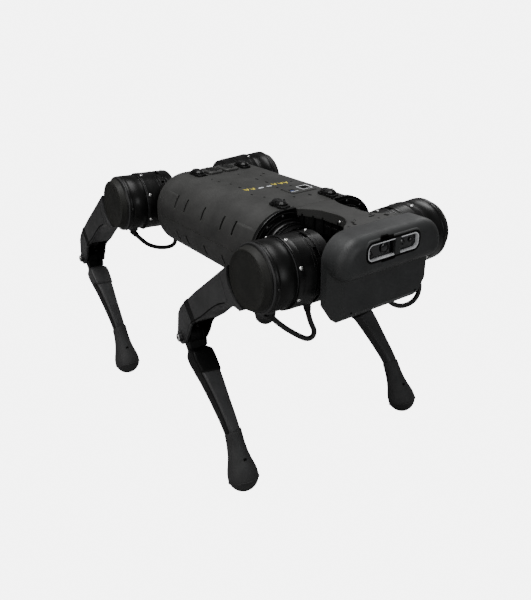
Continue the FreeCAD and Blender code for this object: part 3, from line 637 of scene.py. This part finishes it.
def thigh_details(leg):
    side = side_of(leg)
    body = f"thigh_{leg}"
    at = leg_frame(leg)
    axis = facing((0, 0, 0), (0, side, 0))
    cover = Shape()
    cover.hoop([(DRUM_RADIUS - 1.5, 106.6), (DRUM_RADIUS - 0.2, 106.2), (DRUM_RADIUS + 0.35, 106.8),
                (DRUM_RADIUS + 0.35, 128.2), (DRUM_RADIUS + 0.1, 128.5), (DRUM_RADIUS + 0.1, 129.3),
                (DRUM_RADIUS + 0.35, 129.6), (DRUM_RADIUS + 0.3, 133.2), (DRUM_RADIUS, 133.5),
                (DRUM_RADIUS, 134.2), (DRUM_RADIUS + 0.15, 134.5), (DRUM_RADIUS - 0.1, 135.8),
                (DRUM_RADIUS - 2.6, 138), (DRUM_RADIUS - 3, 137)], axis, 128)
    cover.make(f"drum_sleeve_{leg}", body, "drum", at, angle=50)
    screws = Shape()
    for angle in (70, 0, 290, 215, 142):
        screws.screw(on_drum(side, angle, 131.6, DRUM_RADIUS + 0.1), 1.5, 1)
    screws.make(f"drum_screws_{leg}", body, "steel", at)
    disc = Shape()
    disc.lathe([(0.4, 145.1), (26, 145.45), (32.2, 145.75), (33, 146.3), (34.2, 146.3), (34.9, 145.7),
                (35.3, 144.6), (34, 144), (0.4, 144)], axis, 96)
    disc.make(f"cap_disc_{leg}", body, "cap", at, angle=40)
    arm = thigh_frame(leg)
    # Black band across the thigh by the knee: painted shade of a groove between the arm and the knee cover.
    plate = Shape()
    band = [(146.2, -35.6), (158.2, -35.9), (157, -3.4), (146.2, -2)]
    flat = side_plane(side)
    plate.prism(band, LEG_PLANE, ARM_FACE + 0.5, flat)
    plate.make(f"thigh_groove_shade_{leg}", body, "strip", arm, 0.5)
    washer = Shape()
    knee = Matrix.Translation((LINK, 0, 0)) @ axis
    washer.hoop([(6.2, ARM_FACE - 0.4), (9.4, ARM_FACE - 0.4), (9.4, ARM_FACE + 0.7), (8.6, ARM_FACE + 1.1),
                 (6.2, ARM_FACE + 1.1)], knee, 48)
    washer.hoop([(6.2, 111), (9, 111), (9, 113.4), (6.2, 113.4)], knee, 48)
    washer.make(f"knee_washers_{leg}", body, "steel", arm, 0.2)
    ring = Shape()
    ring.hoop([(2.4, 153), (4.6, 153), (4.6, 154), (4, 154.3), (2.4, 154.3)], knee, 40)
    ring.make(f"knee_pin_ring_{leg}", body, "bright", arm, 0.15)
    # Near-black plates in the knee fork: painted shade filling the gap between the fork's sides.
    gap_shade = Shape()
    throat = [(152, -30), (186, -26), (201, -10), (208, 3), (203, 9), (186, 9), (170, 2), (152, -2)]
    gap_shade.prism(throat, FORK_INNER - 0.45, FORK_INNER, flat)
    gap_shade.prism([(176, -27.5), (186, -26), (201, -10), (207, -1), (201, 5), (188, 2)], FORK_OUTER,
                 FORK_OUTER + 0.4, flat)
    gap_shade.prism([(148, -31.6), (168, -29.6), (185, -26.6), (194, -19.5), (203.4, -11.9), (202.4, -10.9),
                  (192.6, -17.8), (184, -24.6), (168, -27.6), (148, -29.6)],
                 FORK_INNER - 0.4, FORK_OUTER, flat)
    gap_shade.make(f"fork_gap_shade_{leg}", body, "shade_patch", arm)
    # Near-black ring round the knee pin at the rod's level: painted shade in the fork's gap.
    rod_shade = Shape()
    turns = range(-25, 206, 10)
    band = [polar(11.2, turn) for turn in turns] + [polar(6.9, turn) for turn in reversed(turns)]
    rod_shade.prism([(LINK + d, f) for d, f in band], ROD_LOW, ROD_HIGH, flat)
    rod_shade.make(f"rod_gap_shade_{leg}", body, "shade_patch", arm)
    # Dark line along the thigh's front edge: painted shade in a crease.
    crease = Shape()
    edge = [(160, -5.2), (156, -5.6), (128, -2.4), (98, -1.8), (82, -0.6), (70, 1.4), (58, 4.6)]
    across = [(d, f - 1.3) for d, f in edge]
    crease.prism(edge + across[::-1], ARM_FACE - 0.5, ARM_FACE + 0.6, flat)
    crease.make(f"thigh_crease_shade_{leg}", body, "shade_patch", arm)
    notch = Shape()
    lip = [(158.5, -4.4), (161, -4.2), (172, 1.2), (171, 2.4), (158.5, -3)]
    notch.prism(lip, ARM_FACE - 1, ARM_FACE + 0.7, flat)
    notch.make(f"thigh_notch_lip_{leg}", body, "leg", arm, 0.4)
    face = Shape()
    outline = [(46, -27.5), (118, -31.4), (142.5, -32.2), (142.5, -6), (126, -3.4), (98, -3), (72, -0.5),
               (52, 6)]
    face.prism(outline, ARM_FACE - 0.5, ARM_FACE + 0.45, flat)
    outline = [(161.5, -31.9), (172, -31.2), (184, -27.6), (202, -11.5), (208.5, -1), (203, 6.2), (196, 6.8),
               (181, 2), (167, -5.6), (161.5, -6.2)]
    face.prism(outline, ARM_FACE - 0.5, ARM_FACE + 0.45, flat)
    face.make(f"thigh_face_{leg}", body, "leg", arm, 0.6)


# -------- calf and foot

# Calf blade: distance from the knee, front edge, rear edge, width.
BLADE = ((24, 2.5, -10, 27), (38, 11, -9.5, 30), (66, 18, -3, 25),
         (98, 21.5, 2, 20), (137, 23.5, 6.5, 16.5), (160, 19, 3.4, 14.8))
# Sleeve over the top of the blade: distance, front edge, rear edge, width.
SLEEVE = ((16.5, -2, -9.5, 22), (17.5, -0.5, -10.5, 24), (22, 5.6, -11.6, 26),
          (25.5, 10.6, -12.4, 29.6), (27.5, 12.2, -12.6, 31), (33, 13.4, -12, 32.2),
          (40, 14.4, -10.6, 32.2), (48, 16.2, -8.6, 31), (54, 17.6, -7, 29.6),
          (56, 17.8, -6.4, 28.9), (57, 17.4, -6, 28.2))


def blade_at(distance):
    """Front edge, rear edge and width of the blade at a distance, on smooth curves."""
    stations = [row[0] for row in BLADE]
    k = max(i for i in range(len(BLADE) - 1) if stations[i] <= distance or i == 0)
    share = (distance - stations[k]) / (stations[k + 1] - stations[k])
    values = []
    for column in (1, 2, 3):
        p = [BLADE[min(max(i, 0), len(BLADE) - 1)][column] for i in (k - 1, k, k + 1, k + 2)]
        values.append(0.5 * (2 * p[1] + (p[2] - p[0]) * share
                             + (2 * p[0] - 5 * p[1] + 4 * p[2] - p[3]) * share ** 2
                             + (3 * p[1] - p[0] - 3 * p[2] + p[3]) * share ** 3))
    return values


def blade_ring(side, distance, grow):
    """Round-cornered section of the blade, grown on all sides."""
    front, rear, width = blade_at(distance)
    half_height = (front - rear) / 2 + grow
    middle = (front + rear) / 2
    outline = rounded_box(width / 2 + grow, half_height, min(4, half_height - 0.5))
    return [(distance, side * (LEG_PLANE + u), middle + v) for u, v in outline]


def spread(low, high, count):
    return [low + (high - low) * k / (count - 1) for k in range(count)]


def calf_details(leg):
    side = side_of(leg)
    body = f"calf_{leg}"
    at = calf_frame(leg)
    cover = Shape()
    cover.loft([blade_ring(side, d, 0.5) for d in spread(27, 152, 40)])
    cover.make(f"calf_cover_{leg}", body, "leg", at, angle=60)
    sleeve = Shape()
    rings = []
    for d, front, rear, width in SLEEVE:
        outline = rounded_box(width / 2, (front - rear) / 2, 3.2)
        # The lower edge slopes: lower at the front and on the inner side.
        slope = 0.10 if d > 50 else 0
        rings.append([(d + slope * (v - u), side * (LEG_PLANE + u), (front + rear) / 2 + v)
                      for u, v in outline])
    sleeve.loft(rings)
    # The sleeve is black on the front legs and charcoal on the rear legs: the front legs' black is painted shade.
    sleeve.make(f"calf_sleeve_{leg}", body, "strip" if ahead_of(leg) > 0 else "leg", at, angle=60)
    # Near-black plate on the knee's inner side: painted shade filling the gap inside the knee.
    knee_shade = Shape()
    knuckle = [polar(14, turn) for turn in range(60, 331, 15)]
    inner_plane = LEG_PLANE - 12.9
    flat = side_plane(side)
    knee_shade.prism(knuckle + [(20, -9), (20, 4)], inner_plane - 0.45, inner_plane + 0.45, flat)
    knee_shade.make(f"knee_gap_shade_{leg}", body, "shade_patch", at)
    cowl = Shape()
    around = facing((0, 0, 0), (0, side, 0))
    cowl.hoop([(5.5, 119.6), (12.4, 119.6), (13, 120.2), (13, 121.6), (12.4, 122.1), (5.5, 122.1)],
              around, 48)
    cowl.hoop([(5.5, 127.3), (13.2, 127.3), (13.6, 127.8), (13.6, 131.6), (13, 132.2), (13, 133.6),
               (13.6, 134.2), (13.6, 140.2), (13, 141), (5.5, 141)], around, 48)
    cowl.make(f"knee_cowl_{leg}", body, "strip", at)
    # Black strip over the calf's outer side: painted shade on the side turned away from the light.
    strip = Shape()
    rings = []
    for d in spread(50, 150, 34):
        front, rear, width = blade_at(d)
        face = width / 2 + 0.5
        taper = min(1, (d - 49) / 5)
        low, high = rear - 0.2, front - 2.6
        outline = [(face - 2.5, low), (face + 0.3 * taper, low + 0.4), (face + 0.7 * taper, low + 2),
                   (face + 0.7 * taper, high - 0.8), (face + 0.2 * taper, high), (face - 2.5, high)]
        rings.append([(d, side * (LEG_PLANE + u), v) for u, v in outline])
    strip.loft(rings)
    strip.make(f"calf_side_shade_{leg}", body, "strip", at, angle=25)
    boot_and_sole(leg, side, body, at)


BOOT = ((0, 11), (0.04, 11.8), (0.12, 11.9), (0.30, 12.5), (0.50, 14), (0.66, 16.2), (0.80, 18.8),
        (0.90, 20.2), (1, 20.7))
BALL = 20.7
BOOT_TOP = Vector((141, 0, 15))
FLOOR_GAP = 0.00015


def stood_on_floor(piece):
    """Flatten whatever would reach below the floor."""
    for vertex in piece.data.vertices:
        vertex.co.z = max(vertex.co.z, FLOOR_GAP)


def boot_and_sole(leg, side, body, at):
    """Rubber boot: worn, sloping top edge, waisted sleeve and ball, and a separate sole cap."""
    ball = Vector((LINK, 0, 0))
    axis = ball - BOOT_TOP
    length = axis.length
    local = Matrix.Translation((0, side * LEG_PLANE, 0)) @ facing(BOOT_TOP, axis)
    turn_in = local.to_3x3().inverted()
    front = turn_in @ Vector((0, 0, 1))
    inner = turn_in @ Vector((0, -side, 0))
    steps = 60

    def ring(radius, height, wave=0):
        """Ring whose front and inner side reach higher by the wave, with small nicks."""
        points = []
        for step in range(steps):
            turn = math.tau * step / steps
            x, y = math.cos(turn), math.sin(turn)
            rise = 1.6 * (x * front.x + y * front.y) + 1.2 * (x * inner.x + y * inner.y)
            nick = 0.5 * math.sin(7 * turn + 1) + (1.6 if step in (14, 15, 40) else 0)
            points.append((radius * x, radius * y, height + wave * (nick - rise)))
        return points

    rings = [ring(7.5, 4), ring(9.4, 0.6, 1)]
    for share, radius in BOOT:
        rings.append(ring(radius, share * length, max(0, 1 - share * 5)))
    for degrees in (6, 11):
        radius, rise = polar(BALL + 0.1, degrees)
        rings.append(ring(radius, length + rise))
    rings.append(ring(19.6, length + 4.4))
    rings.append(ring(16, length + 4.6))
    boot = Shape()
    boot.loft(rings, local)
    piece = boot.make(f"foot_boot_{leg}_sleeve", body, "foot", at, angle=45)
    stood_on_floor(piece)
    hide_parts(f"foot_boot_{leg}")
    profile = [(15.5, length + 3.6), (19.8, length + 3.6), (21.1, length + 4.4), (21.2, length + 5.2)]
    for degrees in (16, 22, 30, 40, 50, 60, 70, 80, 87):
        radius, rise = polar(BALL, degrees)
        profile.append((radius, length + rise))
    sole = Shape()
    sole.lathe(profile, local, 60)
    stood_on_floor(sole.make(f"foot_sole_{leg}", body, "sole", at, angle=50))
    # Small near-black patches on the boot: painted shade for its holes.
    hole_shades = Shape()
    spots = ((front, 0.62, 15, 2.3, 1.9), (inner, 0.3, 12.3, 1.6, 1.2), (-inner, 0.12, 11.8, 2.2, 1))
    for direction, share, radius, half_u, half_v in spots:
        flat = Vector((direction.x, direction.y, 0)).normalized()
        spot = local @ (flat * radius + Vector((0, 0, share * length)))
        shade_patch = facing(spot, local.to_3x3() @ flat)
        hole_shades.prism(rounded_box(half_u, half_v, 0.5), -1.4, 0.9, shade_patch)
    hole_shades.make(f"boot_hole_shade_{leg}", body, "shade_patch", at, 0.2)


for leg in LEGS:
    shoulder_details(leg)
    thigh_details(leg)
    calf_details(leg)


# -------- trunk

SHELL_TOP = 50
BLOCK_X = 102
BLOCK_Y = 39.5


def barrel_outline(inset):
    """Trunk section (y, z): round shoulders, short upright sides, flatter belly."""
    top, width, belly = SHELL_TOP - inset, 97 - inset, 52 - inset
    half = []
    steps = 24
    for k in range(steps + 1):
        y, z = polar(top, 90 - 90 * k / steps)
        half.append((ROLL_OFFSET + y, z))
    for k in range(steps + 1):
        y, z = polar(belly, -90 * k / steps)
        half.append((width - belly + y, z - 8))
    return half + [(-y, z) for y, z in reversed(half)]


ALONG_X = Matrix(((0, 0, 1, 0), (1, 0, 0, 0), (0, 1, 0, 0), (0, 0, 0, 1)))


def roll_motor_face(shape, sense, side):
    """Stepped rim, spokes and screws on the end of a roll motor."""
    at = roll_axis(side, sense)
    for profile in (
            [(37, 123.9), (40.4, 123.9), (41, 124.6), (41, 126.4), (40.2, 127.2), (37.6, 127.2)],
            [(36.2, 133.9), (37.9, 133.5), (38.3, 132.8), (38.3, 129.5), (37.9, 129), (37.9, 133.9)],
            [(30, 133.8), (36.4, 133.8), (36.4, 135.2), (35.6, 135.8), (31, 135.8), (30, 135)]):
        shape.hoop(profile, at, 96)
    for k in range(14):
        turn = 360 * k / 14
        shape.arc_band([(22.2, 133.8), (30.4, 133.8), (30.4, 135), (22.2, 135)], turn - 3, turn + 3,
                       at, 2)
    for k in range(7):
        y, z = polar(33.4, 360 * (k + 0.3) / 7)
        shape.screw(facing((sense * 135.7, side * ROLL_OFFSET + y, z), (sense, 0, 0)), 1.4, 0.8)


def barrel_rear():
    """Crisp rim round the rear end of the barrel, motor sleeves behind it, a blank foil patch on one."""
    rim = Shape()
    section = ((-118, 1.5), (-119, -0.15), (-130.8, -0.05), (-131.8, 0.5), (-132.2, 1.6), (-132.2, 5.5),
               (-118, 5.5))
    rim.loft([[(x, y, z) for y, z in barrel_outline(inset)] for x, inset in section], closed=True)
    rim.on_trunk("barrel_rear_rim", "shell", angle=50)
    sleeves = Shape()
    for side in (1, -1):
        at = roll_axis(side, -1)
        sleeves.hoop([(37.5, 124.5), (44.4, 124.5), (44.8, 125.2), (44.8, 135.4), (44, 136.6),
                      (37.5, 136.6)], at, 96)
    sleeves.on_trunk("rear_motor_sleeves", "motor", angle=40)
    foil = Shape()
    at = Matrix.Translation((0, -ROLL_OFFSET, 0)) @ ALONG_X
    foil.arc_band([(44.5, -136), (45, -136), (45, -133.4), (44.5, -133.4)], 76, 104, at, 16)
    foil.on_trunk("motor_foil", "gold")


def front_collar():
    """Glossy collar round the open front of the barrel, with its screws, and the motors' ends."""
    shape = Shape()
    for side in (1, -1):
        at = roll_axis(side, 1)
        shape.hoop([(41.6, 123.8), (42.2, 124.4), (42.2, 125), (47.8, 125), (48.4, 124.4),
                    (48.4, 123.8)], at, 96)
    shape.on_trunk("front_collar", "gloss", angle=30)
    screws = Shape()
    for side in (1, -1):
        for angle in (14, 52, 84, 116, 148, -22, -58):
            y, z = polar(45, angle)
            screws.screw(facing((125, side * (ROLL_OFFSET + y), z), (1, 0, 0)), 1.9, 1.3)
    screws.on_trunk("collar_screws", "steel")
    ends = Shape()
    for side in (1, -1):
        roll_motor_face(ends, 1, side)
        roll_motor_face(ends, -1, side)
    ends.on_trunk("roll_motor_ends", "motor", angle=30)


def neck_details():
    """Boxed black sides under the neck, with ribs and cable clips, and the screws on its edge."""
    shape = Shape()
    low = [(124.3, 27), (132, 24), (146, 18), (166, 14.6), (192, 14), (206, 19), (218, 31),
           (229, 44)]
    outline = low + [(x, -y) for x, y in reversed(low)]
    shape.prism(outline, 24, 43)
    shape.prism([(124.5, 22), (140, 12), (140, -12), (124.5, -22)], -34, 25)
    for side in (1, -1):
        for x, y, reach in ((131, 24.5, 3), (145, 18.8, 2.6), (159, 16, 2.4), (172, 14.6, 2.4),
                            (185, 14.4, 2.4), (199, 16.6, 2.6), (211, 24.5, 2.8)):
            shape.prism(rounded_box(1.4, reach, 0.5, (x, side * y)), 25, 45.5)
        shape.prism(rounded_box(26, 1.6, 0.8, (162, side * 15)), 33, 36.5)
    shape.on_trunk("neck_underframe", "cast", 0.5)
    bright = Shape()
    for side in (1, -1):
        bright.screw(facing((189, side * 17, 47), (0, side, 0.2)), 2, 1.2)
        bright.screw(facing((222, side * 41.5, 45), (-0.8, side, 0.1)), 1.5, 1)
    bright.on_trunk("neck_screws", "bright")
    # Near-black patches on top of the neck: painted shade for small notches.
    notches = Shape()
    for x, y, half_x, half_y in ((216, -22, 2.4, 1.3), (222, -25, 2.8, 1.5), (213, 10, 1.4, 3.6),
                                 (207, 14, 1.2, 1.8), (220, 27, 3, 2.4), (223, 12, 1.4, 1.1)):
        notches.prism(rounded_box(half_x, half_y, 0.6, (x, y)), 54.2, 55.15)
    notches.on_trunk("neck_notch_shade", "shade_patch")
    tips = Shape()
    for x, y in ((212, -15.5), (225, -36), (225, 36), (212, 15.5)):
        tips.screw(facing((x, y, 55), (0, 0, 1)), 1.5, 0.7)
    tips.on_trunk("neck_top_screws", "steel")


PORT = (55, 37)
TOP_MARKS = ((-90, -31), (-66, -36.5), (-66, 9), (-25, 14), (-48, -36), (-26, -30), (-3, -30), (37, -37),
             (57, -31), (-46, 40), (-38, 30), (17, 44), (-2.5, 15), (30, 10), (80, 0), (86, 22), (34, 30))


def back_marks():
    """Patches of painted shade for small recesses, painted dashes and chevrons, and the port's outline on the
    back.
    """
    # Near-black patches: painted shade standing in for small recesses.
    dots = Shape()
    for k, (x, y) in enumerate(TOP_MARKS):
        long_half = 3.4 if k % 3 == 0 else 1.9
        dots.prism(rounded_box(long_half, 1.3, 1.1, (x, y)), SHELL_TOP - 0.5, SHELL_TOP + 0.12)
    dots.on_trunk("back_recess_shade", "shade_patch")
    high = SHELL_TOP + 0.16
    yellow = Shape()
    for x, y, turn in ((13.5, -29, 1), (15, -20, 1), (14, 17, -1), (16, 26.5, -1), (17, 34.5, -1)):
        arrow = [(-5.4, -3.4), (-1.2, -3.4), (5, 0), (-1.2, 3.4), (-5.4, 3.4), (-0.8, 0)]
        yellow.prism([(x + u, y + turn * v) for u, v in arrow], SHELL_TOP - 0.4, high)
    yellow.on_trunk("back_chevrons", "yellow")
    white = Shape()
    for y in (-8, 6):
        white.prism([(14.8, y - 4.2), (19.2, y - 4.2), (18.6, y + 4.2), (15.4, y + 4.2)],
                    SHELL_TOP - 0.4, high)
    for k in range(3):
        white.prism(rounded_box(0.9, 1.6, 0.4, (63.5, 10.5 + 4 * k)), SHELL_TOP - 0.4, SHELL_TOP + 1.35)
    white.on_trunk("back_dashes", "white")
    border = Shape()
    outer = rounded_box(8.6, 8.6, 2.2, PORT)
    inner = rounded_box(7.4, 7.4, 1.4, PORT)
    border.loft(tube_ring(inner, outer, 50.4, 51.5), closed=True)
    border.on_trunk("port_border", "rim")
    sockets = Shape()
    sockets.prism(rounded_box(6.3, 6.3, 1.2, PORT), 43.6, 47.2)
    sockets.prism(rounded_box(2.2, 4.4, 0.8, PORT), 47, 49.4)
    sockets.on_trunk("port_socket", "steel", 0.2)
    plug = Shape()
    plug.prism(rounded_box(4.6, 3.5, 1, (58, 14.5)), 43.6, 49.8)
    plug.on_trunk("small_port_insert", "blue", 0.3)
    threads = Shape()
    for x in (1, -1):
        for y in (1, -1):
            at = Matrix.Translation((x * BLOCK_X, y * BLOCK_Y, 0))
            threads.hoop([(2.1, 57.4), (4.2, 57.4), (4.2, 58.25), (3.6, 58.45), (2.1, 58.45)], at, 32)
    threads.on_trunk("payload_inserts", "steel", 0.12)
    wings = Shape()
    seams = Shape()
    for x in (BLOCK_X, -BLOCK_X):
        for y in (BLOCK_Y, -BLOCK_Y):
            for sense in (1, -1):
                wing = ((5, -8.2), (13.5, -6.8), (15.5, -2), (14, 6.4), (5, 8.2))
                wings.prism([(x + sense * u, y + v) for u, v in wing], SHELL_TOP - 1, SHELL_TOP + 3.4)
            seams.prism([(x - 1.2, y - 7.3), (x - 0.4, y - 7.3), (x + 1.2, y + 7.3), (x + 0.4, y + 7.3)],
                        SHELL_TOP + 1, SHELL_TOP + 8.25)
    wings.on_trunk("payload_wings", "cast", 0.9)
    seams.on_trunk("payload_seams", "steel", 0.1)
    ribs = Shape()
    for centre in (-14, 14):
        for x in (-114, -108, -102, -96):
            ribs.prism(rounded_box(1, 8.2, 0.8, (x, centre)), 53.6, 54.5)
        ribs.screw(facing((-91.5, centre, 53.9), (0, 0, 1)), 1.5, 0.8)
        ribs.screw(facing((-117.8, centre, 53.9), (0, 0, 1)), 1.5, 0.8)
    ribs.on_trunk("cover_ribs", "strip", 0.2)


def battery_details():
    """Grip ridges and level lights on the battery's end."""
    ridges = Shape()
    for z in (-31, -28, -25, -22):
        ridges.prism(rounded_box(25, 0.7, 0.6, (-25, z)), -90.2, -89,
                     side_plane(-1))
    ridges.make("battery_grip_ridges", "battery", "strip", TRUNK_FRAME)
    lights = Shape()
    for k in range(4):
        at = facing((10 + 4.2 * k, 93, -37.5), (0, 1, -0.35))
        lights.lathe([(0.2, -1), (1.2, -1), (1.2, 0.6), (0.9, 0.9), (0.2, 0.95)], at, 20)
    lights.make("battery_lights", "battery", "white", TRUNK_FRAME)


front_collar()
barrel_rear()
neck_details()
back_marks()
battery_details()


# -------- head

FACE = 265
WINDOW = (-4.75, 36.25)
RIM_BACK = 263.9
LENSES = ((-15.4, 36.8, 6.6), (-37, 34, 3.3), (11.4, 37.3, 4), (25, 36.7, 2.9))


def head_details():
    """Windows of the stereo camera with rims and lenses, painted shade round them and in small slots, and the
    head's rear.
    """
    # Near-black frame round the windows and small patches above and below: painted shade for the recess and slots.
    recess = Shape()
    recess.loft(tube_ring(rounded_box(38.85, 9.85, 7.1, WINDOW), rounded_box(41.6, 12.5, 9.6, WINDOW),
                          FACE - 1, FACE + 0.12), ALONG_X, closed=True)
    for y, z, half_y, half_z in ((-16, 49.4, 9.5, 2.2), (-20, 51.4, 5, 2), (-13, 23.6, 10.5, 1.4)):
        recess.prism(rounded_box(half_y, half_z, 1.2, (y, z)), FACE - 1.5, FACE + 0.12, ALONG_X)
    recess.on_trunk("camera_recess_shade", "shade_patch")
    bar = Shape()
    bar.prism(rounded_box(3.6, 10.1, 0.8, (1, WINDOW[1])), FACE - 3, FACE + 0.5, ALONG_X)
    bar.on_trunk("camera_bar", "mask", 0.4)
    bright = Shape()
    low_z, high_z = 27.1, 45.4
    for z in (low_z, high_z):
        for low, high in ((-36.5, -3.8), (5.8, 27)):
            middle, half = (low + high) / 2, (high - low) / 2
            bright.prism(rounded_box(half, 0.55, 0.3, (middle, z)), RIM_BACK, FACE + 0.15, ALONG_X)
    for sense, centre in ((-1, -36.5), (1, 27)):
        for z, start in ((high_z - 6.4, 90 if sense < 0 else 0), (low_z + 6.4, 180 if sense < 0 else 270)):
            at = ALONG_X @ Matrix.Translation((centre, z, 0))
            bright.arc_band([(5.85, RIM_BACK), (6.95, RIM_BACK), (6.95, FACE + 0.15), (5.85, FACE + 0.15)],
                            start, start + 90, at, 12)
        side_y = centre + sense * 6.4
        bright.prism(rounded_box(0.55, 2.9, 0.3, (side_y, WINDOW[1])), RIM_BACK, FACE + 0.15, ALONG_X)
    bright.on_trunk("camera_bright_rim", "rim")
    lenses = Shape()
    for y, z, radius in LENSES:
        at = facing((260.2, y, z), (1, 0, 0))
        lenses.hoop([(radius, -0.3), (radius, 1.9), (radius - 0.7, 2.3), (radius - 1.5, 1.6),
                     (radius - 1.6, 0.9)], at, 40)
    lenses.on_trunk("lens_barrels", "steel")
    glass = Shape()
    for y, z, radius in LENSES:
        seen = radius - 1.5
        at = facing((260.4, y, z), (1, 0, 0))
        glass.lathe([(seen, 0), (seen, 0.8), (seen * 0.8, 1.3), (seen * 0.5, 1.6), (seen * 0.15, 1.7)],
                    at, 32)
    glass.on_trunk("lens_glasses", "lens")
    # Near-black patches on the head's sides and underside: painted shade for slots and small holes.
    slots = Shape()
    for side in (1, -1):
        slots.prism(rounded_box(4.2, 1.6, 1.2), -2.2, 0.3,
                    facing((244.6, side * 71.8, 7.6), (0.72, side * 0.66, -0.2)))
        slots.lathe([(0.3, -1), (1.5, -1), (1.5, 0.15), (0.3, 0.15)],
                    facing((251, side * 51.6, -36.5), (1, 0, 0)), 20)
    slots.on_trunk("head_slot_shade", "shade_patch")
    rear = Shape()
    for y, z in ((60, 38), (66, -20), (-60, 38), (-66, -20), (40, -42), (-40, -42)):
        rear.screw(facing((232, y, z), (-1, 0, 0)), 1.9, 1.2)
    rear.on_trunk("head_rear_screws", "steel")
    pads = Shape()
    for y in (-48, 48):
        pads.prism(rounded_box(9, 16, 3, (y, 2)), 229.6, 232.4, ALONG_X)
        pads.prism(rounded_box(5, 5, 2, (y, 2)), 228.4, 230, ALONG_X)
    pads.on_trunk("head_rear_ribs", "cast", 0.5)


head_details()


# -------- floor and light

def seen_only_bright(tree, plain, glow):
    """Mix a plain shader with an emission that only the camera sees."""
    path = tree.nodes.new("ShaderNodeLightPath")
    mixer = tree.nodes.new("ShaderNodeMixShader")
    tree.links.new(path.outputs["Is Camera Ray"], mixer.inputs["Fac"])
    tree.links.new(plain.outputs[0], mixer.inputs[1])
    tree.links.new(glow.outputs[0], mixer.inputs[2])
    return mixer


GLOW = 6
LIGHTS = (
    # name, place from the trunk, width, power, colour
    ("overhead", (-0.10, -0.25, 1.5), 1.1, 30, (1, 1, 1)),
    ("key", (0.45, -1.7, 0.9), 1.1, 11, (1, 0.99, 0.97)),
    ("front", (1.7, 0.1, 0.5), 0.6, 6, (0.98, 0.99, 1)),
    ("rim", (-0.5, 1.6, 1), 0.9, 8, (1, 1, 1)),
)


def studio():
    """Pale floor and surroundings, bright only to the camera, and four soft lamps."""
    size = 6
    mesh = bpy.data.meshes.new("floor")
    mesh.from_pydata([(-size, -size, 0), (size, -size, 0), (size, size, 0), (-size, size, 0)], [],
                     [(0, 1, 2, 3)])
    floor = added("floor", mesh)
    made = material("floor_white", (0.3, 0.3, 0.3), 0.9)
    tree = made.node_tree
    glow = tree.nodes.new("ShaderNodeEmission")
    glow.inputs["Strength"].default_value = GLOW
    mixer = seen_only_bright(tree, tree.nodes["Principled BSDF"], glow)
    tree.links.new(mixer.outputs[0], tree.nodes["Material Output"].inputs["Surface"])
    floor.data.materials.append(made)
    world = bpy.data.worlds.new("studio")
    bpy.context.scene.world = world
    world.use_nodes = True
    tree = world.node_tree
    plain = tree.nodes["Background"]
    plain.inputs["Color"].default_value = (1, 1, 1, 1)
    plain.inputs["Strength"].default_value = 0.14
    glow = tree.nodes.new("ShaderNodeBackground")
    glow.inputs["Color"].default_value = (1, 1, 1, 1)
    glow.inputs["Strength"].default_value = GLOW
    mixer = seen_only_bright(tree, plain, glow)
    tree.links.new(mixer.outputs[0], tree.nodes["World Output"].inputs["Surface"])
    for name, where, width, power, colour in LIGHTS:
        lamp = bpy.data.lights.new(name, "AREA")
        lamp.size = width
        lamp.energy = power
        lamp.color = colour
        thing = added(name, lamp)
        thing.location = TRUNK + Vector(where)
        thing.rotation_euler = (-Vector(where)).to_track_quat("-Z", "Y").to_euler()


studio()
